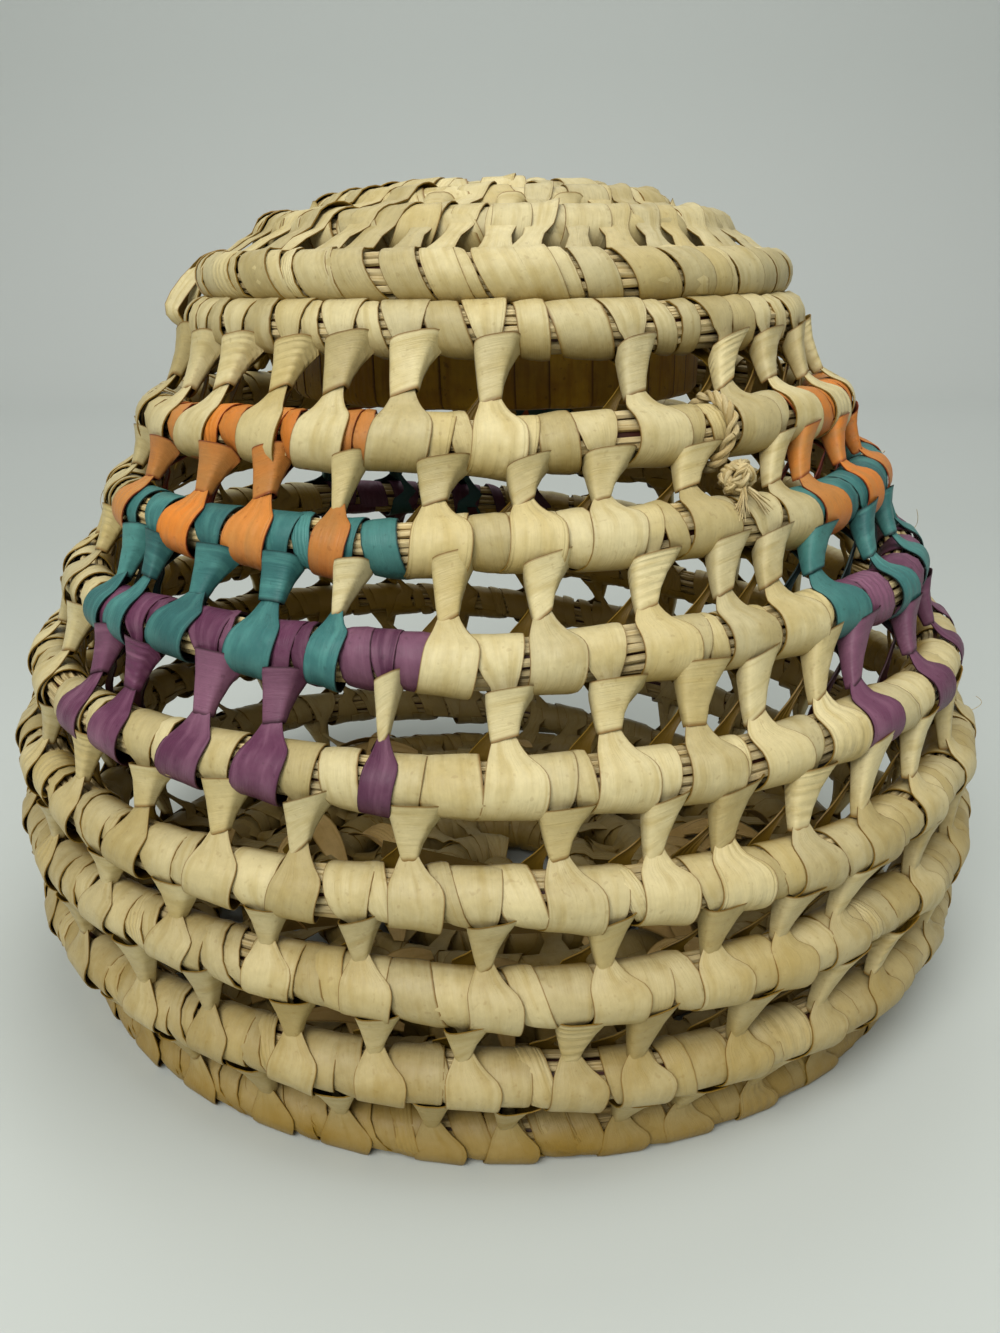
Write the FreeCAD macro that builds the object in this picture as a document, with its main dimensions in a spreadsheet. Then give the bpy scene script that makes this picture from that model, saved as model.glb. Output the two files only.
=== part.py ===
import FreeCAD, Part
import Sketcher
import math
import os

# Lidded basket made of one long coil of straw wrapped with palm strip.
# The coil winds out from the middle of the base, climbs the wall turn by turn and ends at the neck.
# Open lace stitches, narrow at the waist and wide at the foot, tie each turn to the turn below it.
# A domed lid with a collar turns on a palm loop at the left side of the neck.
# Millimetres, +Z up, origin on the floor under the middle of the basket. The front faces -Y.
# An azimuth is 0 degrees at the front and grows towards +X, so +90 is the right side.
# A lean is the angle of a face or a place on the coil above the outward direction.

SIZES = [
    ("belly_radius", 144.0, "axis to the middle of the coil at the widest turn"),
    ("neck_height", 199.3, "floor to the middle of the coil at the neck"),
    ("coil_radius", 6.4, "coil with its wrapping, middle to corner"),
    ("foot_flat", 0.5, "depth of the worn flat under the foot turn"),
    ("seat_gap", 0.3, "room between pieces that rest on each other"),
    ("strip_gap", 0.3, "room between a stitch and the coil it passes over"),
    ("strip_thickness", 0.8, "palm strip, folded double"),
    ("collar_width", 12.0, "stitch: upper end of the wrapped collar"),
    ("collar_shift", 1.6, "stitch: its upper end leans this far to the right"),
    ("waist_width", 5.6, "stitch: narrowest place, between the two coils"),
    ("waist_inset", 1.2, "stitch: the waist is pulled in this far"),
    ("knee_width", 9.6, "stitch: where it meets the lower coil"),
    ("flare_width", 14.2, "stitch: over the front of the lower coil"),
    ("coil_sag", 0.75, "base: most that a straight length of a turn cuts inside its round"),
    ("base_start_radius", 13.0, "base: first turn, axis to the middle of the coil"),
    ("base_spacing", 21.4, "base: from turn to turn, before whole turns are made of it"),
    ("base_rise", 2.6, "base: its middle stands this much above the foot turn"),
    ("base_knot_width", 9.0, "base: knot between two turns"),
    ("base_knot_thickness", 4.0, "base: knot between two turns"),
    ("base_knot_spacing", 30.5, "base: from knot to knot along a turn"),
    ("lid_rise", 19.0, "lid: middle turn above the rim turn"),
    ("lid_start_radius", 13.0, "lid: innermost turn, axis to the middle of the coil"),
    ("lid_spacing", 17.0, "lid: from turn to turn, before whole turns are made of it"),
    ("lid_knot_width", 9.0, "lid: knot between two turns"),
    ("lid_knot_thickness", 5.0, "lid: knot between two turns"),
    ("lid_knot_spacing", 22.0, "lid: from knot to knot along a turn"),
    ("button_height", 8.0, "middle buttons of the base and the lid"),
    ("flange_inset", 1.8, "lid flange: its outer face, in from the middle of the turn above it"),
    ("flange_thickness", 5.0, "lid flange: wall"),
    ("flange_drop", 34.0, "lid flange: how far it hangs below the turn that carries it"),
    ("tack_width", 6.0, "strips that tack the flange to the lid"),
    ("tack_length", 9.0, "strips that tack the flange to the lid"),
    ("tack_thickness", 1.2, "strips that tack the flange to the lid"),
    ("hinge_width", 10.0, "hinge loop: width of the palm strip"),
    ("hinge_thickness", 0.7, "hinge loop: thickness of the palm strip"),
    ("tie_cord_radius", 1.7, "tie: twisted straw cord"),
    ("tie_knot_radius", 4.8, "tie: ball knot"),
    ("tie_tail_length", 12.0, "tie: loose ends below the knot"),
    ("tie_tail_radius", 1.5, "tie: loose ends, at the knot"),
    ("tie_tail_tip", 0.6, "tie: loose ends, at the tip"),
]

# Each turn's height above the foot turn, as a share of the neck's, and its radius, as a share of
# the belly's, from the foot up. The turns tilt a little to one side or the other.
TURN_HEIGHT_SHARES = [0.0, 0.130, 0.262, 0.381, 0.511, 0.641, 0.761, 0.873, 1.0]
TURN_RADIUS_SHARES = [0.907, 0.989, 1.009, 1.0, 0.953, 0.870, 0.777, 0.698, 0.594]
TURN_TILT_DEGREES = [0.0, -1.2, -1.2, -0.5, 0.4, 0.7, 1.0, 0.7, 0.0]
TURN_COUNT = len(TURN_HEIGHT_SHARES)
NECK = TURN_COUNT - 1
TURN_NAMES = ["foot_turn"] + ["wall_turn_%d" % number for number in range(2, TURN_COUNT)] + ["neck_turn"]

# Azimuths of the stitches that show at the front, gap by gap from the foot up. The others are
# spread evenly round the sides and the back.
FRONT_STITCH_DEGREES = [
    [-47, -36.5, -26.5, -17.1, -7.4, 0.7, 12.4, 19.9, 29.1, 39.5],
    [-38.7, -29.3, -19.7, -11.2, -3.1, 6.3, 13.2, 23.4, 34.3, 43.6],
    [-41.9, -31.9, -21.7, -12.4, -1.2, 9.4, 19.6, 27.0, 34.9, 48.4],
    [-48.6, -36.7, -26.8, -18.1, -8.0, 5.1, 14.4, 21.2, 30.1, 39.1, 48.4],
    [-49.8, -42.5, -31.4, -22.5, -10.8, 0.4, 10.6, 19.5, 27.0, 35.6, 41.5],
    [-52.6, -47.2, -36.1, -26.3, -17.4, -4.8, 4.7, 16.2, 26.1, 32.9, 40.6],
    [-56.9, -41.9, -31.0, -19.4, -7.5, 3.6, 13.1, 24.7, 39.4, 45.7],
    [-57.9, -46.2, -33.1, -23.1, -12.6, -0.6, 20.0, 36.5, 47.7],
]
STITCH_STEP_DEGREES = 12.8

# Dyed patches, three round the basket in each of three gaps. Each entry gives the gap, counted
# from 0 at the foot, and the azimuths between which its stitches are dyed.
DYED = {
    "purple_stitches": (4, [(-52, -8), (39, 86), (166, 214)]),
    "teal_stitches": (5, [(-55, -15), (38, 86), (166, 214)]),
    "orange_stitches": (6, [(-60, -15), (43, 92), (166, 214)]),
}

COIL_SIDES = 8
WALL_STEPS = 30
LID_STEPS = 24
FEWEST_KNOTS = 6
LID_END_AZIMUTH = 100.0
FLANGE_TACKS = 14
HINGE_AZIMUTH = -90.0
TIE_AZIMUTH = 30.7
TIE_KNOT_LEAN = math.radians(-40)
TIE_TAIL_LEAN = math.radians(-38)
TIE_TAIL_SPREAD = math.radians(17)
TIE_SIDES = 6
TIE_STEPS = 16
BALL_SIDES = 8
BALL_RINGS = 5
FOOT_STITCH_AZIMUTH = -145.0
TAPER_START_AZIMUTH = 140.0
TIP_SHARE = 0.45
FLARE_END_SHARE = 0.93

doc = FreeCAD.newDocument("CoiledBasket")
sheet = doc.addObject("Spreadsheet::Sheet", "Sizes")
for line, (alias, number, note) in enumerate(SIZES, start=1):
    sheet.set("A%d" % line, alias)
    sheet.set("B%d" % line, str(number))
    sheet.set("C%d" % line, note)
    sheet.setAlias("B%d" % line, alias)
doc.recompute()


def size(alias):
    """Read one driving dimension from the sheet."""
    return float(sheet.get(alias))


belly_radius = size("belly_radius")
coil_radius = size("coil_radius")
seat_gap = size("seat_gap")
strip_thickness = size("strip_thickness")
foot_height = coil_radius - size("foot_flat")
half_corner = math.pi / COIL_SIDES
coil_flat = coil_radius * math.cos(half_corner)
strip_reach = coil_radius + size("strip_gap") / math.cos(half_corner)

# The lid's rim turn lies on the neck turn, flat to flat. Its corners have room to turn there,
# because the rim rolls in place when the lid opens.
rim_lean = math.pi / 2 - half_corner
rim_offset = coil_radius + coil_flat + seat_gap
neck_radius = belly_radius * TURN_RADIUS_SHARES[NECK]
rim_radius = neck_radius - rim_offset * math.cos(rim_lean)
rim_height = size("neck_height") + rim_offset * math.sin(rim_lean)

# The base and the lid are wound in whole turns. The base's last turn ends half a turn's pitch
# inside the foot turn, and the lid's first one lies a whole pitch inside the rim.
foot_radius = belly_radius * TURN_RADIUS_SHARES[0]
base_reach = foot_radius - size("base_start_radius")
base_turns = round(base_reach / size("base_spacing") - 0.5)
foot_start_radius = foot_radius - base_reach / (base_turns + 0.5) / 2
base_pitch = (foot_start_radius - size("base_start_radius")) / base_turns
lid_turns = round((rim_radius - size("lid_start_radius")) / size("lid_spacing"))
lid_pitch = (rim_radius - size("lid_start_radius")) / lid_turns
flange_outer = rim_radius - lid_pitch - size("flange_inset")
flange_inner = flange_outer - size("flange_thickness")


def outward(azimuth):
    """Unit vector away from the axis at an azimuth in degrees."""
    angle = math.radians(azimuth)
    return FreeCAD.Vector(math.sin(angle), -math.cos(angle), 0)


def sideways(azimuth):
    """Unit vector along a turn, towards larger azimuths."""
    angle = math.radians(azimuth)
    return FreeCAD.Vector(math.cos(angle), math.sin(angle), 0)


def leaning(azimuth, lean):
    """Unit vector in the upright plane at an azimuth, at a lean above the outward direction."""
    vector = outward(azimuth) * math.cos(lean)
    vector.z = math.sin(lean)
    return vector


def in_plane(azimuth, place):
    """Point at a place, a radius and a height, in the upright plane at an azimuth."""
    point = outward(azimuth) * place[0]
    point.z = place[1]
    return point


def between(first, second, share):
    """Place on the way from one place to another."""
    return tuple(a + (b - a) * share for a, b in zip(first, second))


def off_from(place, distance, lean):
    """Place at a distance from another, at a lean."""
    return place[0] + distance * math.cos(lean), place[1] + distance * math.sin(lean)


def wound(levels, turn, azimuth):
    """Radius and height of a winding's middle, at an azimuth from -180 to +180 of one turn.

    Levels are the turns' places where they are level, with one more place before the first turn
    and one after the last. Each turn is level round the front. Over the back it comes from
    halfway to the turn before and leaves halfway to the turn after, so that they all join.
    """
    other = levels[turn + 2] if azimuth > 0 else levels[turn]
    climb = max(abs(azimuth) / 90 - 1, 0) ** 2 / 2
    return between(levels[turn + 1], other, climb)


def wall_levels():
    """Places of the wall's turns. The foot comes from the base, and the neck's tip rests on its start."""
    rise = size("neck_height") - foot_height
    levels = [(2 * foot_start_radius - foot_radius, foot_height)]
    for radius_share, height_share in zip(TURN_RADIUS_SHARES, TURN_HEIGHT_SHARES):
        levels.append((belly_radius * radius_share, foot_height + rise * height_share))
    neck = levels[-1]
    start = between(levels[-2], neck, 0.5)
    lean = math.atan2(neck[1] - start[1], neck[0] - start[0])
    tip = off_from(start, coil_radius * (1 + TIP_SHARE) + seat_gap, lean)
    return levels + [between(neck, tip, 2)]


def lid_levels():
    """Places of the lid's turns, from the rim inwards over a dome."""
    places = []
    for turn in range(lid_turns + 1):
        radius = rim_radius - lid_pitch * turn
        places.append((radius, rim_height + size("lid_rise") * (1 - (radius / rim_radius) ** 3)))
    return places[:1] + places + places[-1:]


def turn_place(turn, azimuth):
    """Radius and height of a wall turn's middle at an azimuth, with the turn's own tilt."""
    radius, height = wound(wall_levels(), turn, azimuth)
    tilt = math.tan(math.radians(TURN_TILT_DEGREES[turn]))
    return radius, height + tilt * radius * math.sin(math.radians(azimuth))


def lid_place(turn, azimuth):
    """Radius and height of a lid turn's middle at an azimuth. Turn 0 is the rim."""
    return wound(lid_levels(), turn, azimuth)


def base_place(turns):
    """Radius and height of the base coil's middle after so many turns from its start."""
    low = coil_radius + seat_gap
    rise = size("base_rise") * (1 - turns / base_turns)
    return size("base_start_radius") + base_pitch * turns, low + rise


def base_steps(ring):
    """How many straight lengths one turn of the base has: more on a wider turn."""
    radius = base_place(ring + 0.5)[0]
    return round(math.pi / math.acos(1 - size("coil_sag") / radius))


def least_gap(pairs):
    """Least room between neighbouring turns, measured on pairs of points of their middles."""
    return round(min(math.dist(here, after) for here, after in pairs) - 2 * coil_radius, 2)


def taper(distance):
    """How much of its size a coil's free end has, by its distance from the tip in degrees."""
    return min(1.0, TIP_SHARE + (1 - TIP_SHARE) * distance / (180 - TAPER_START_AZIMUTH))


def coil_section(azimuth, place, grow=1.0):
    """Closed octagon round the coil in the upright plane at an azimuth, with a corner down."""
    corners = []
    for side in range(COIL_SIDES):
        lean = 2 * half_corner * side - math.pi / 2
        corners.append(in_plane(azimuth, off_from(place, coil_radius * grow, lean)))
    return Part.makePolygon(corners + corners[:1])


def add_shape(label, shape):
    """Put a finished shape into the document under its own label."""
    feature = doc.addObject("Part::Feature", label)
    feature.Label = label
    feature.Shape = shape
    feature.Placement = FreeCAD.Placement()
    return feature


def add_group(label, solids):
    """Several separate solids of one kind under one label."""
    return add_shape(label, Part.makeCompound(solids))


def flat_faced(rows):
    """Solid between rings of four corners, in flat triangles, because a strip twists a little."""
    quads = [rows[0][::-1], rows[-1]]
    for ring, after in zip(rows, rows[1:]):
        for corner in range(4):
            following = (corner + 1) % 4
            quads.append([ring[corner], ring[following], after[following], after[corner]])
    faces = []
    for quad in quads:
        for corners in (quad[:3], quad[2:] + quad[:1]):
            faces.append(Part.Face(Part.makePolygon(corners + corners[:1])))
    shell = Part.Shell(faces)
    solid = Part.Solid(shell)
    if solid.Volume < 0:
        solid.reverse()
    return solid


def wall_turn(turn):
    """One turn of the wall's winding. The foot is worn flat, and the neck's end tapers off."""
    sections = []
    for step in range(WALL_STEPS + 1):
        azimuth = 360 * step / WALL_STEPS - 180
        grow = taper(180 - azimuth) if turn == NECK else 1.0
        sections.append(coil_section(azimuth, turn_place(turn, azimuth), grow))
    solid = Part.makeLoft(sections, True, True)
    if turn == 0:
        reach = foot_radius + 2 * coil_radius
        corner = FreeCAD.Vector(-reach, -reach, -coil_radius)
        solid = solid.cut(Part.makeBox(2 * reach, 2 * reach, coil_radius, corner))
    add_shape(TURN_NAMES[turn], solid)


def base_coil():
    """Flat spiral from the middle of the base to the start of the foot turn."""
    marks = []
    for ring in range(base_turns):
        marks += [ring + step / base_steps(ring) for step in range(base_steps(ring))]
    marks.append(base_turns)
    sections = [coil_section(360 * mark - 180, base_place(mark)) for mark in marks]
    add_shape("base_coil", Part.makeLoft(sections, True, True))
    pairs = [(base_place(mark), base_place(mark + 1)) for mark in marks if mark <= base_turns - 1]
    print("base coil: least gap to itself", least_gap(pairs))


def lid_coils():
    """The rim turn, whose free end tapers off, and the domed winding that goes on from it."""
    sections = []
    for step in range(WALL_STEPS + 1):
        azimuth = 360 * step / WALL_STEPS - 180
        sections.append(coil_section(azimuth, lid_place(0, azimuth), taper(azimuth + 180)))
    add_shape("lid_rim", Part.makeLoft(sections, True, True))
    azimuths = [360 * step / LID_STEPS - 180 for step in range(LID_STEPS)]
    stations = [(turn, azimuth) for turn in range(1, lid_turns + 1) for azimuth in azimuths]
    stations = [station for station in stations if station <= (lid_turns, LID_END_AZIMUTH)]
    sections = [coil_section(azimuth, lid_place(turn, azimuth)) for turn, azimuth in stations]
    add_shape("lid_coil", Part.makeLoft(sections, True, True))
    pairs = [(lid_place(turn - 1, azimuth), lid_place(turn, azimuth)) for turn, azimuth in stations]
    print("lid coil: least gap to itself", least_gap(pairs[LID_STEPS:]))


def strip_ring(place_of, azimuth, lean, width, shift=0.0):
    """Four corners of a strip's cross-section, whose face looks along the lean.

    Place_of gives the strip's middle at an azimuth. Both edges follow it, and the strip stands
    off by as much as its flat back cuts into the curve.
    """
    radius = place_of(azimuth)[0]
    stand_off = (width / 2) ** 2 / (2 * radius) / math.cos(half_corner)
    edges = []
    for side in (-1, 1):
        turned = azimuth + math.degrees((side * width / 2 + shift) / radius)
        inner = off_from(place_of(turned), stand_off, lean)
        outer = off_from(inner, strip_thickness, lean)
        edges.append((in_plane(turned, inner), in_plane(turned, outer)))
    left, right = edges
    return [left[0], right[0], right[1], left[1]]


def lace_stitch(gap, azimuth, room):
    """One wall stitch: collar under the upper turn, waist, then a flare over the lower turn.

    It bends where the coil has its corners, so its faces lie flat along the coil's. Room is the
    angle to the nearest other stitch of the gap, and a crowded stitch is narrower.
    """
    corner = 2 * half_corner

    def top(turned):
        return off_from(turn_place(gap + 1, turned), strip_reach, -corner)

    def knee(turned):
        return off_from(turn_place(gap, turned), strip_reach, corner)

    def front(turned):
        return off_from(turn_place(gap, turned), strip_reach, 0.0)

    def under(turned):
        return off_from(turn_place(gap, turned), strip_reach, -corner)

    def end(turned):
        return between(front(turned), under(turned), FLARE_END_SHARE)

    def waist(turned):
        return off_from(between(top(turned), knee(turned), 0.5), -size("waist_inset"), lean)

    fall = (top(azimuth)[0] - knee(azimuth)[0], top(azimuth)[1] - knee(azimuth)[1])
    lean = math.atan2(-fall[0], fall[1])
    flare_room = room * front(azimuth)[0] - seat_gap
    collar_room = room * top(azimuth)[0] - seat_gap
    narrow = min(1.0, flare_room / size("flare_width"), collar_room / size("collar_width"))
    return flat_faced([
        strip_ring(top, azimuth, -corner, size("collar_width") * narrow, size("collar_shift") * narrow),
        strip_ring(waist, azimuth, lean, size("waist_width")),
        strip_ring(knee, azimuth, corner, size("knee_width") * narrow),
        strip_ring(front, azimuth, 0.0, size("flare_width") * narrow),
        strip_ring(end, azimuth, -corner, size("flare_width") * narrow),
    ])


def gap_azimuths(gap):
    """Azimuths of a gap's stitches: the front ones, then even steps to where the turn ends."""
    front = FRONT_STITCH_DEGREES[gap]
    margin = 180 - STITCH_STEP_DEGREES / 2
    first = -margin if gap > 0 else FOOT_STITCH_AZIMUTH
    last = margin if gap + 1 < NECK else TAPER_START_AZIMUTH
    left_count = round((front[0] - first) / STITCH_STEP_DEGREES)
    right_count = round((last - front[-1]) / STITCH_STEP_DEGREES)
    left = [first + (front[0] - first) * step / left_count for step in range(left_count)]
    right = [last + (front[-1] - last) * step / right_count for step in range(right_count)]
    return left + front + right[::-1]


def near_hinge(azimuth):
    """Whether a stitch of the neck or the rim would meet the hinge loop there."""
    room = math.degrees((size("hinge_width") / 2 + size("flare_width") / 2 + seat_gap) / rim_radius)
    return abs((azimuth - HINGE_AZIMUTH + 180) % 360 - 180) < room


def is_dyed(azimuth, patches):
    """Whether an azimuth lies in one of the patches, which may run past 180."""
    return any(low <= azimuth + lap <= high for low, high in patches for lap in (0, 360))


def wall_stitches():
    """Stitches gap by gap, and the dyed ones of a gap apart from its plain ones."""
    dyed_gaps = {gap: (label, patches) for label, (gap, patches) in DYED.items()}
    for gap in range(NECK):
        azimuths = gap_azimuths(gap)
        label, patches = dyed_gaps.get(gap, (None, []))
        plain = []
        dyed = []
        for azimuth in azimuths:
            if gap + 1 == NECK and near_hinge(azimuth):
                continue
            room = min(abs(azimuth - other) for other in azimuths if other != azimuth)
            solid = lace_stitch(gap, azimuth, math.radians(room))
            (dyed if is_dyed(azimuth, patches) else plain).append(solid)
        add_group("stitches_%d" % (gap + 1), plain)
        if label:
            add_group(label, dyed)


def knot(azimuth, inner_of, outer_of, steps, width, thickness, inner_radius=coil_radius):
    """Wedge that ties two neighbouring turns together between their facing sides.

    Inner_of and outer_of give the turns' middles at an azimuth, and both sides of the wedge follow
    them. The outer turn has so many steps, and its straight lengths between them come nearer.
    """
    outer_radius = outer_of(azimuth)[0]
    chord = outer_radius * (1 - math.cos(math.pi / steps))
    bow = (width / 2) ** 2 / (2 * outer_radius)
    rows = [[], []]
    for side in (-1, 1):
        turned = azimuth + side * math.degrees(width / 2 / outer_radius)
        inner = inner_of(turned)
        outer = outer_of(turned)
        run = math.dist(inner, outer)
        lean = math.atan2(outer[1] - inner[1], outer[0] - inner[0])
        dip = (inner[0] + inner_radius) * (1 - math.cos(width / 2 / outer_radius))
        near = off_from(inner, inner_radius + seat_gap + dip, lean)
        far = off_from(inner, run - coil_radius - seat_gap - chord - bow, lean)
        for row, place in zip(rows, (near, far)):
            for level in (-side, side):
                raised = off_from(place, level * thickness / 2, lean + math.pi / 2)
                row.append(in_plane(turned, raised))
    return flat_faced(rows)


def base_turn(ring, azimuth):
    """Middle of one ring of the base at an azimuth: the button's, the coil's or the foot turn's."""
    if ring < 0:
        return 0.0, base_place(0)[1]
    if ring == base_turns:
        return turn_place(0, azimuth)
    return base_place(ring + (azimuth + 180) / 360)


def knot_count(radius, spacing):
    """How many knots go round a turn of a radius."""
    return max(FEWEST_KNOTS, round(2 * math.pi * radius / spacing))


def base_knots():
    """Knots of the base, from the button outwards and on to the foot turn."""
    width = size("base_knot_width")
    thickness = size("base_knot_thickness")
    button = size("base_start_radius") - coil_radius - seat_gap
    solids = []
    for ring in range(base_turns + 1):
        count = knot_count(base_place(ring)[0], size("base_knot_spacing"))
        for number in range(count):
            azimuth = 360 * (number + 0.5) / count - 180
            inner_radius = coil_radius if ring > 0 else button
            if ring > 0 or base_turn(0, azimuth)[0] - coil_radius - button > thickness:
                solids.append(knot(
                    azimuth,
                    lambda turned: base_turn(ring - 1, turned),
                    lambda turned: base_turn(ring, turned),
                    base_steps(ring) if ring < base_turns else WALL_STEPS,
                    width if ring > 0 else width / 2,
                    thickness,
                    inner_radius,
                ))
    add_group("base_knots", solids)


def lid_knots():
    """Knots of the lid, from the rim inwards, with none in the hinge loop's way."""
    width = size("lid_knot_width")
    thickness = size("lid_knot_thickness")
    solids = []
    for turn in range(lid_turns):
        count = knot_count(rim_radius - lid_pitch * turn, size("lid_knot_spacing"))
        for number in range(count):
            azimuth = 360 * (number + 0.5) / count - 180
            past_end = turn + 1 == lid_turns and azimuth > LID_END_AZIMUTH
            by_rim_tip = turn == 0 and azimuth < -TAPER_START_AZIMUTH
            if past_end or by_rim_tip or (turn == 0 and near_hinge(azimuth)):
                continue
            solids.append(knot(
                azimuth,
                lambda turned: lid_place(turn + 1, turned),
                lambda turned: lid_place(turn, turned),
                LID_STEPS if turn > 0 else WALL_STEPS,
                width,
                thickness,
            ))
    add_group("lid_knots", solids)


def middle_button(label, place, start_alias):
    """Round start of a spiral: a turned button in the eye of its first turn."""
    button = doc.addObject("Part::Cylinder", label)
    button.Label = label
    button.setExpression("Radius", "Sizes.%s - Sizes.coil_radius - Sizes.seat_gap" % start_alias)
    button.setExpression("Height", "Sizes.button_height")
    height = place[1] - size("button_height") / 2
    button.Placement = FreeCAD.Placement(FreeCAD.Vector(0, 0, height), FreeCAD.Rotation())


def new_sketch(label, plane_role):
    """Body of one sketch on one of its own origin planes."""
    body = doc.addObject("PartDesign::Body", label)
    body.Label = label
    sketch = body.newObject("Sketcher::SketchObject", label + "_sketch")
    planes = [feature for feature in body.Origin.OriginFeatures if feature.Role == plane_role]
    sketch.AttachmentSupport = (planes[0], [""])
    sketch.MapMode = "FlatFace"
    return body, sketch


def coil_underside(place, radius):
    """Height of a turn's underside at a radius from the axis."""
    off = abs(radius - place[0])
    corner = coil_radius * math.sin(2 * half_corner)
    if off > corner:
        return place[1] - corner + (off - corner) / math.tan(half_corner)
    return place[1] - coil_radius + off * math.tan(half_corner)


def carried_top(inner, outer):
    """Height of a ring's top that hangs under the lid's second turn, clear of it all round."""
    heights = []
    for step in range(WALL_STEPS + 1):
        place = lid_place(1, 360 * step / WALL_STEPS - 180)
        for radius in (inner, outer, min(max(place[0], inner), outer)):
            if abs(radius - place[0]) < coil_radius:
                heights.append(coil_underside(place, radius))
    return min(heights) - seat_gap


def lid_flange():
    """Ring that hangs inside the neck, under the second turn of the lid."""
    body, sketch = new_sketch("lid_flange", "XZ_Plane")
    top = flange_top
    bottom = top - size("flange_drop")
    corners = [(flange_inner, bottom), (flange_outer, bottom), (flange_outer, top), (flange_inner, top)]
    points = [FreeCAD.Vector(x, y, 0) for x, y in corners]
    for point, following in zip(points, points[1:] + points[:1]):
        sketch.addGeometry(Part.LineSegment(point, following), False)
    for line in range(4):
        sketch.addConstraint(Sketcher.Constraint("Coincident", line, 2, (line + 1) % 4, 1))
    for line, direction in enumerate(["Horizontal", "Vertical", "Horizontal", "Vertical"]):
        sketch.addConstraint(Sketcher.Constraint(direction, line))
    named = [
        ("flange_thickness", Sketcher.Constraint("DistanceX", 0, 1, 0, 2, size("flange_thickness"))),
        ("flange_drop", Sketcher.Constraint("DistanceY", 1, 1, 1, 2, size("flange_drop"))),
    ]
    for name, constraint in named:
        index = sketch.addConstraint(constraint)
        sketch.renameConstraint(index, name)
        sketch.setExpression("Constraints." + name, "Sizes." + name)
    sketch.addConstraint(Sketcher.Constraint("DistanceX", -1, 1, 1, 1, flange_outer))
    sketch.addConstraint(Sketcher.Constraint("DistanceY", -1, 1, 1, 2, top))
    ring = body.newObject("PartDesign::Revolution", "lid_flange_ring")
    ring.Profile = sketch
    ring.ReferenceAxis = (sketch, ["V_Axis"])
    ring.Angle = 360


def flange_tacks():
    """Strips that tack the flange to the lid's second turn: each is bent round its top edge."""
    solids = []
    thick = size("tack_thickness")
    face = flange_outer + seat_gap
    top = flange_top - seat_gap
    for number in range(FLANGE_TACKS):
        azimuth = 360 * (number + 0.5) / FLANGE_TACKS - 180
        if abs(azimuth) > TAPER_START_AZIMUTH:
            continue
        across = sideways(azimuth) * (size("tack_width") / 2)
        rows = []
        for height in (top - size("tack_length"), top):
            low = in_plane(azimuth, (face, height))
            far = in_plane(azimuth, (face + thick, height))
            rows.append([low - across, low + across, far + across, far - across])
        solids.append(flat_faced(rows))
    add_group("flange_tacks", solids)


def hinge_loop():
    """Palm strip sewn in a loop round the rim turn and the neck turn, open through the middle.

    It goes round the middle of a straight length of both, so it lies a little inside their round.
    """
    body, sketch = new_sketch("hinge_loop", "XZ_Plane")
    inner = coil_radius + seat_gap
    loops = [("inner", inner, "Sizes.coil_radius + Sizes.seat_gap"),
             ("outer", inner + size("hinge_thickness"),
              "Sizes.coil_radius + Sizes.seat_gap + Sizes.hinge_thickness")]
    for name, radius, expression in loops:
        first = sketch.GeometryCount
        upright = FreeCAD.Vector(0, 0, 1)
        near = Part.Circle(FreeCAD.Vector(0, 0, 0), upright, radius)
        far = Part.Circle(FreeCAD.Vector(rim_offset, 0, 0), upright, radius)
        sketch.addGeometry(Part.ArcOfCircle(near, math.pi / 2, 3 * math.pi / 2), False)
        sketch.addGeometry(Part.ArcOfCircle(far, -math.pi / 2, math.pi / 2), False)
        for side in (1, -1):
            start = FreeCAD.Vector(0, side * radius, 0)
            end = FreeCAD.Vector(rim_offset, side * radius, 0)
            sketch.addGeometry(Part.LineSegment(start, end), False)
        joints = [(first, 1, first + 2, 1), (first, 2, first + 3, 1),
                  (first + 1, 2, first + 2, 2), (first + 1, 1, first + 3, 2)]
        for arc, arc_end, line, line_end in joints:
            sketch.addConstraint(Sketcher.Constraint("Tangent", arc, arc_end, line, line_end))
        sketch.addConstraint(Sketcher.Constraint("Coincident", first, 3, -1, 1))
        sketch.addConstraint(Sketcher.Constraint("PointOnObject", first + 1, 3, -1))
        index = sketch.addConstraint(Sketcher.Constraint("Radius", first, radius))
        sketch.renameConstraint(index, name)
        sketch.setExpression("Constraints." + name, expression)
        sketch.addConstraint(Sketcher.Constraint("DistanceX", first, 3, first + 1, 3, rim_offset))
    band = body.newObject("PartDesign::Pad", "hinge_loop_band")
    band.Profile = sketch
    band.Midplane = True
    band.setExpression("Length", "Sizes.hinge_width")
    radius, height = turn_place(NECK, HINGE_AZIMUTH)
    neck = in_plane(HINGE_AZIMUTH, (radius * math.cos(math.pi / WALL_STEPS), height))
    turned = FreeCAD.Rotation(FreeCAD.Vector(0, -1, 0), math.degrees(rim_lean))
    body.Placement = FreeCAD.Placement(neck, turned)


def tie_knot_place():
    """Middle of the ball knot, and its lean from the turn that carries it.

    It hangs at its own lean, or further out where the turn below holds it off.
    """
    carrier = turn_place(NECK - 1, TIE_AZIMUTH)
    below = turn_place(NECK - 2, TIE_AZIMUTH)
    away = coil_radius + 2 * size("tie_cord_radius") + size("tie_knot_radius") + 2 * seat_gap
    clear = coil_radius + size("tie_knot_radius") + seat_gap
    run = math.dist(carrier, below)
    swing = math.acos(min(1.0, (away ** 2 + run ** 2 - clear ** 2) / (2 * away * run)))
    lean = max(TIE_KNOT_LEAN, math.atan2(below[1] - carrier[1], below[0] - carrier[0]) + swing)
    return in_plane(TIE_AZIMUTH, off_from(carrier, away, lean)), lean


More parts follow.
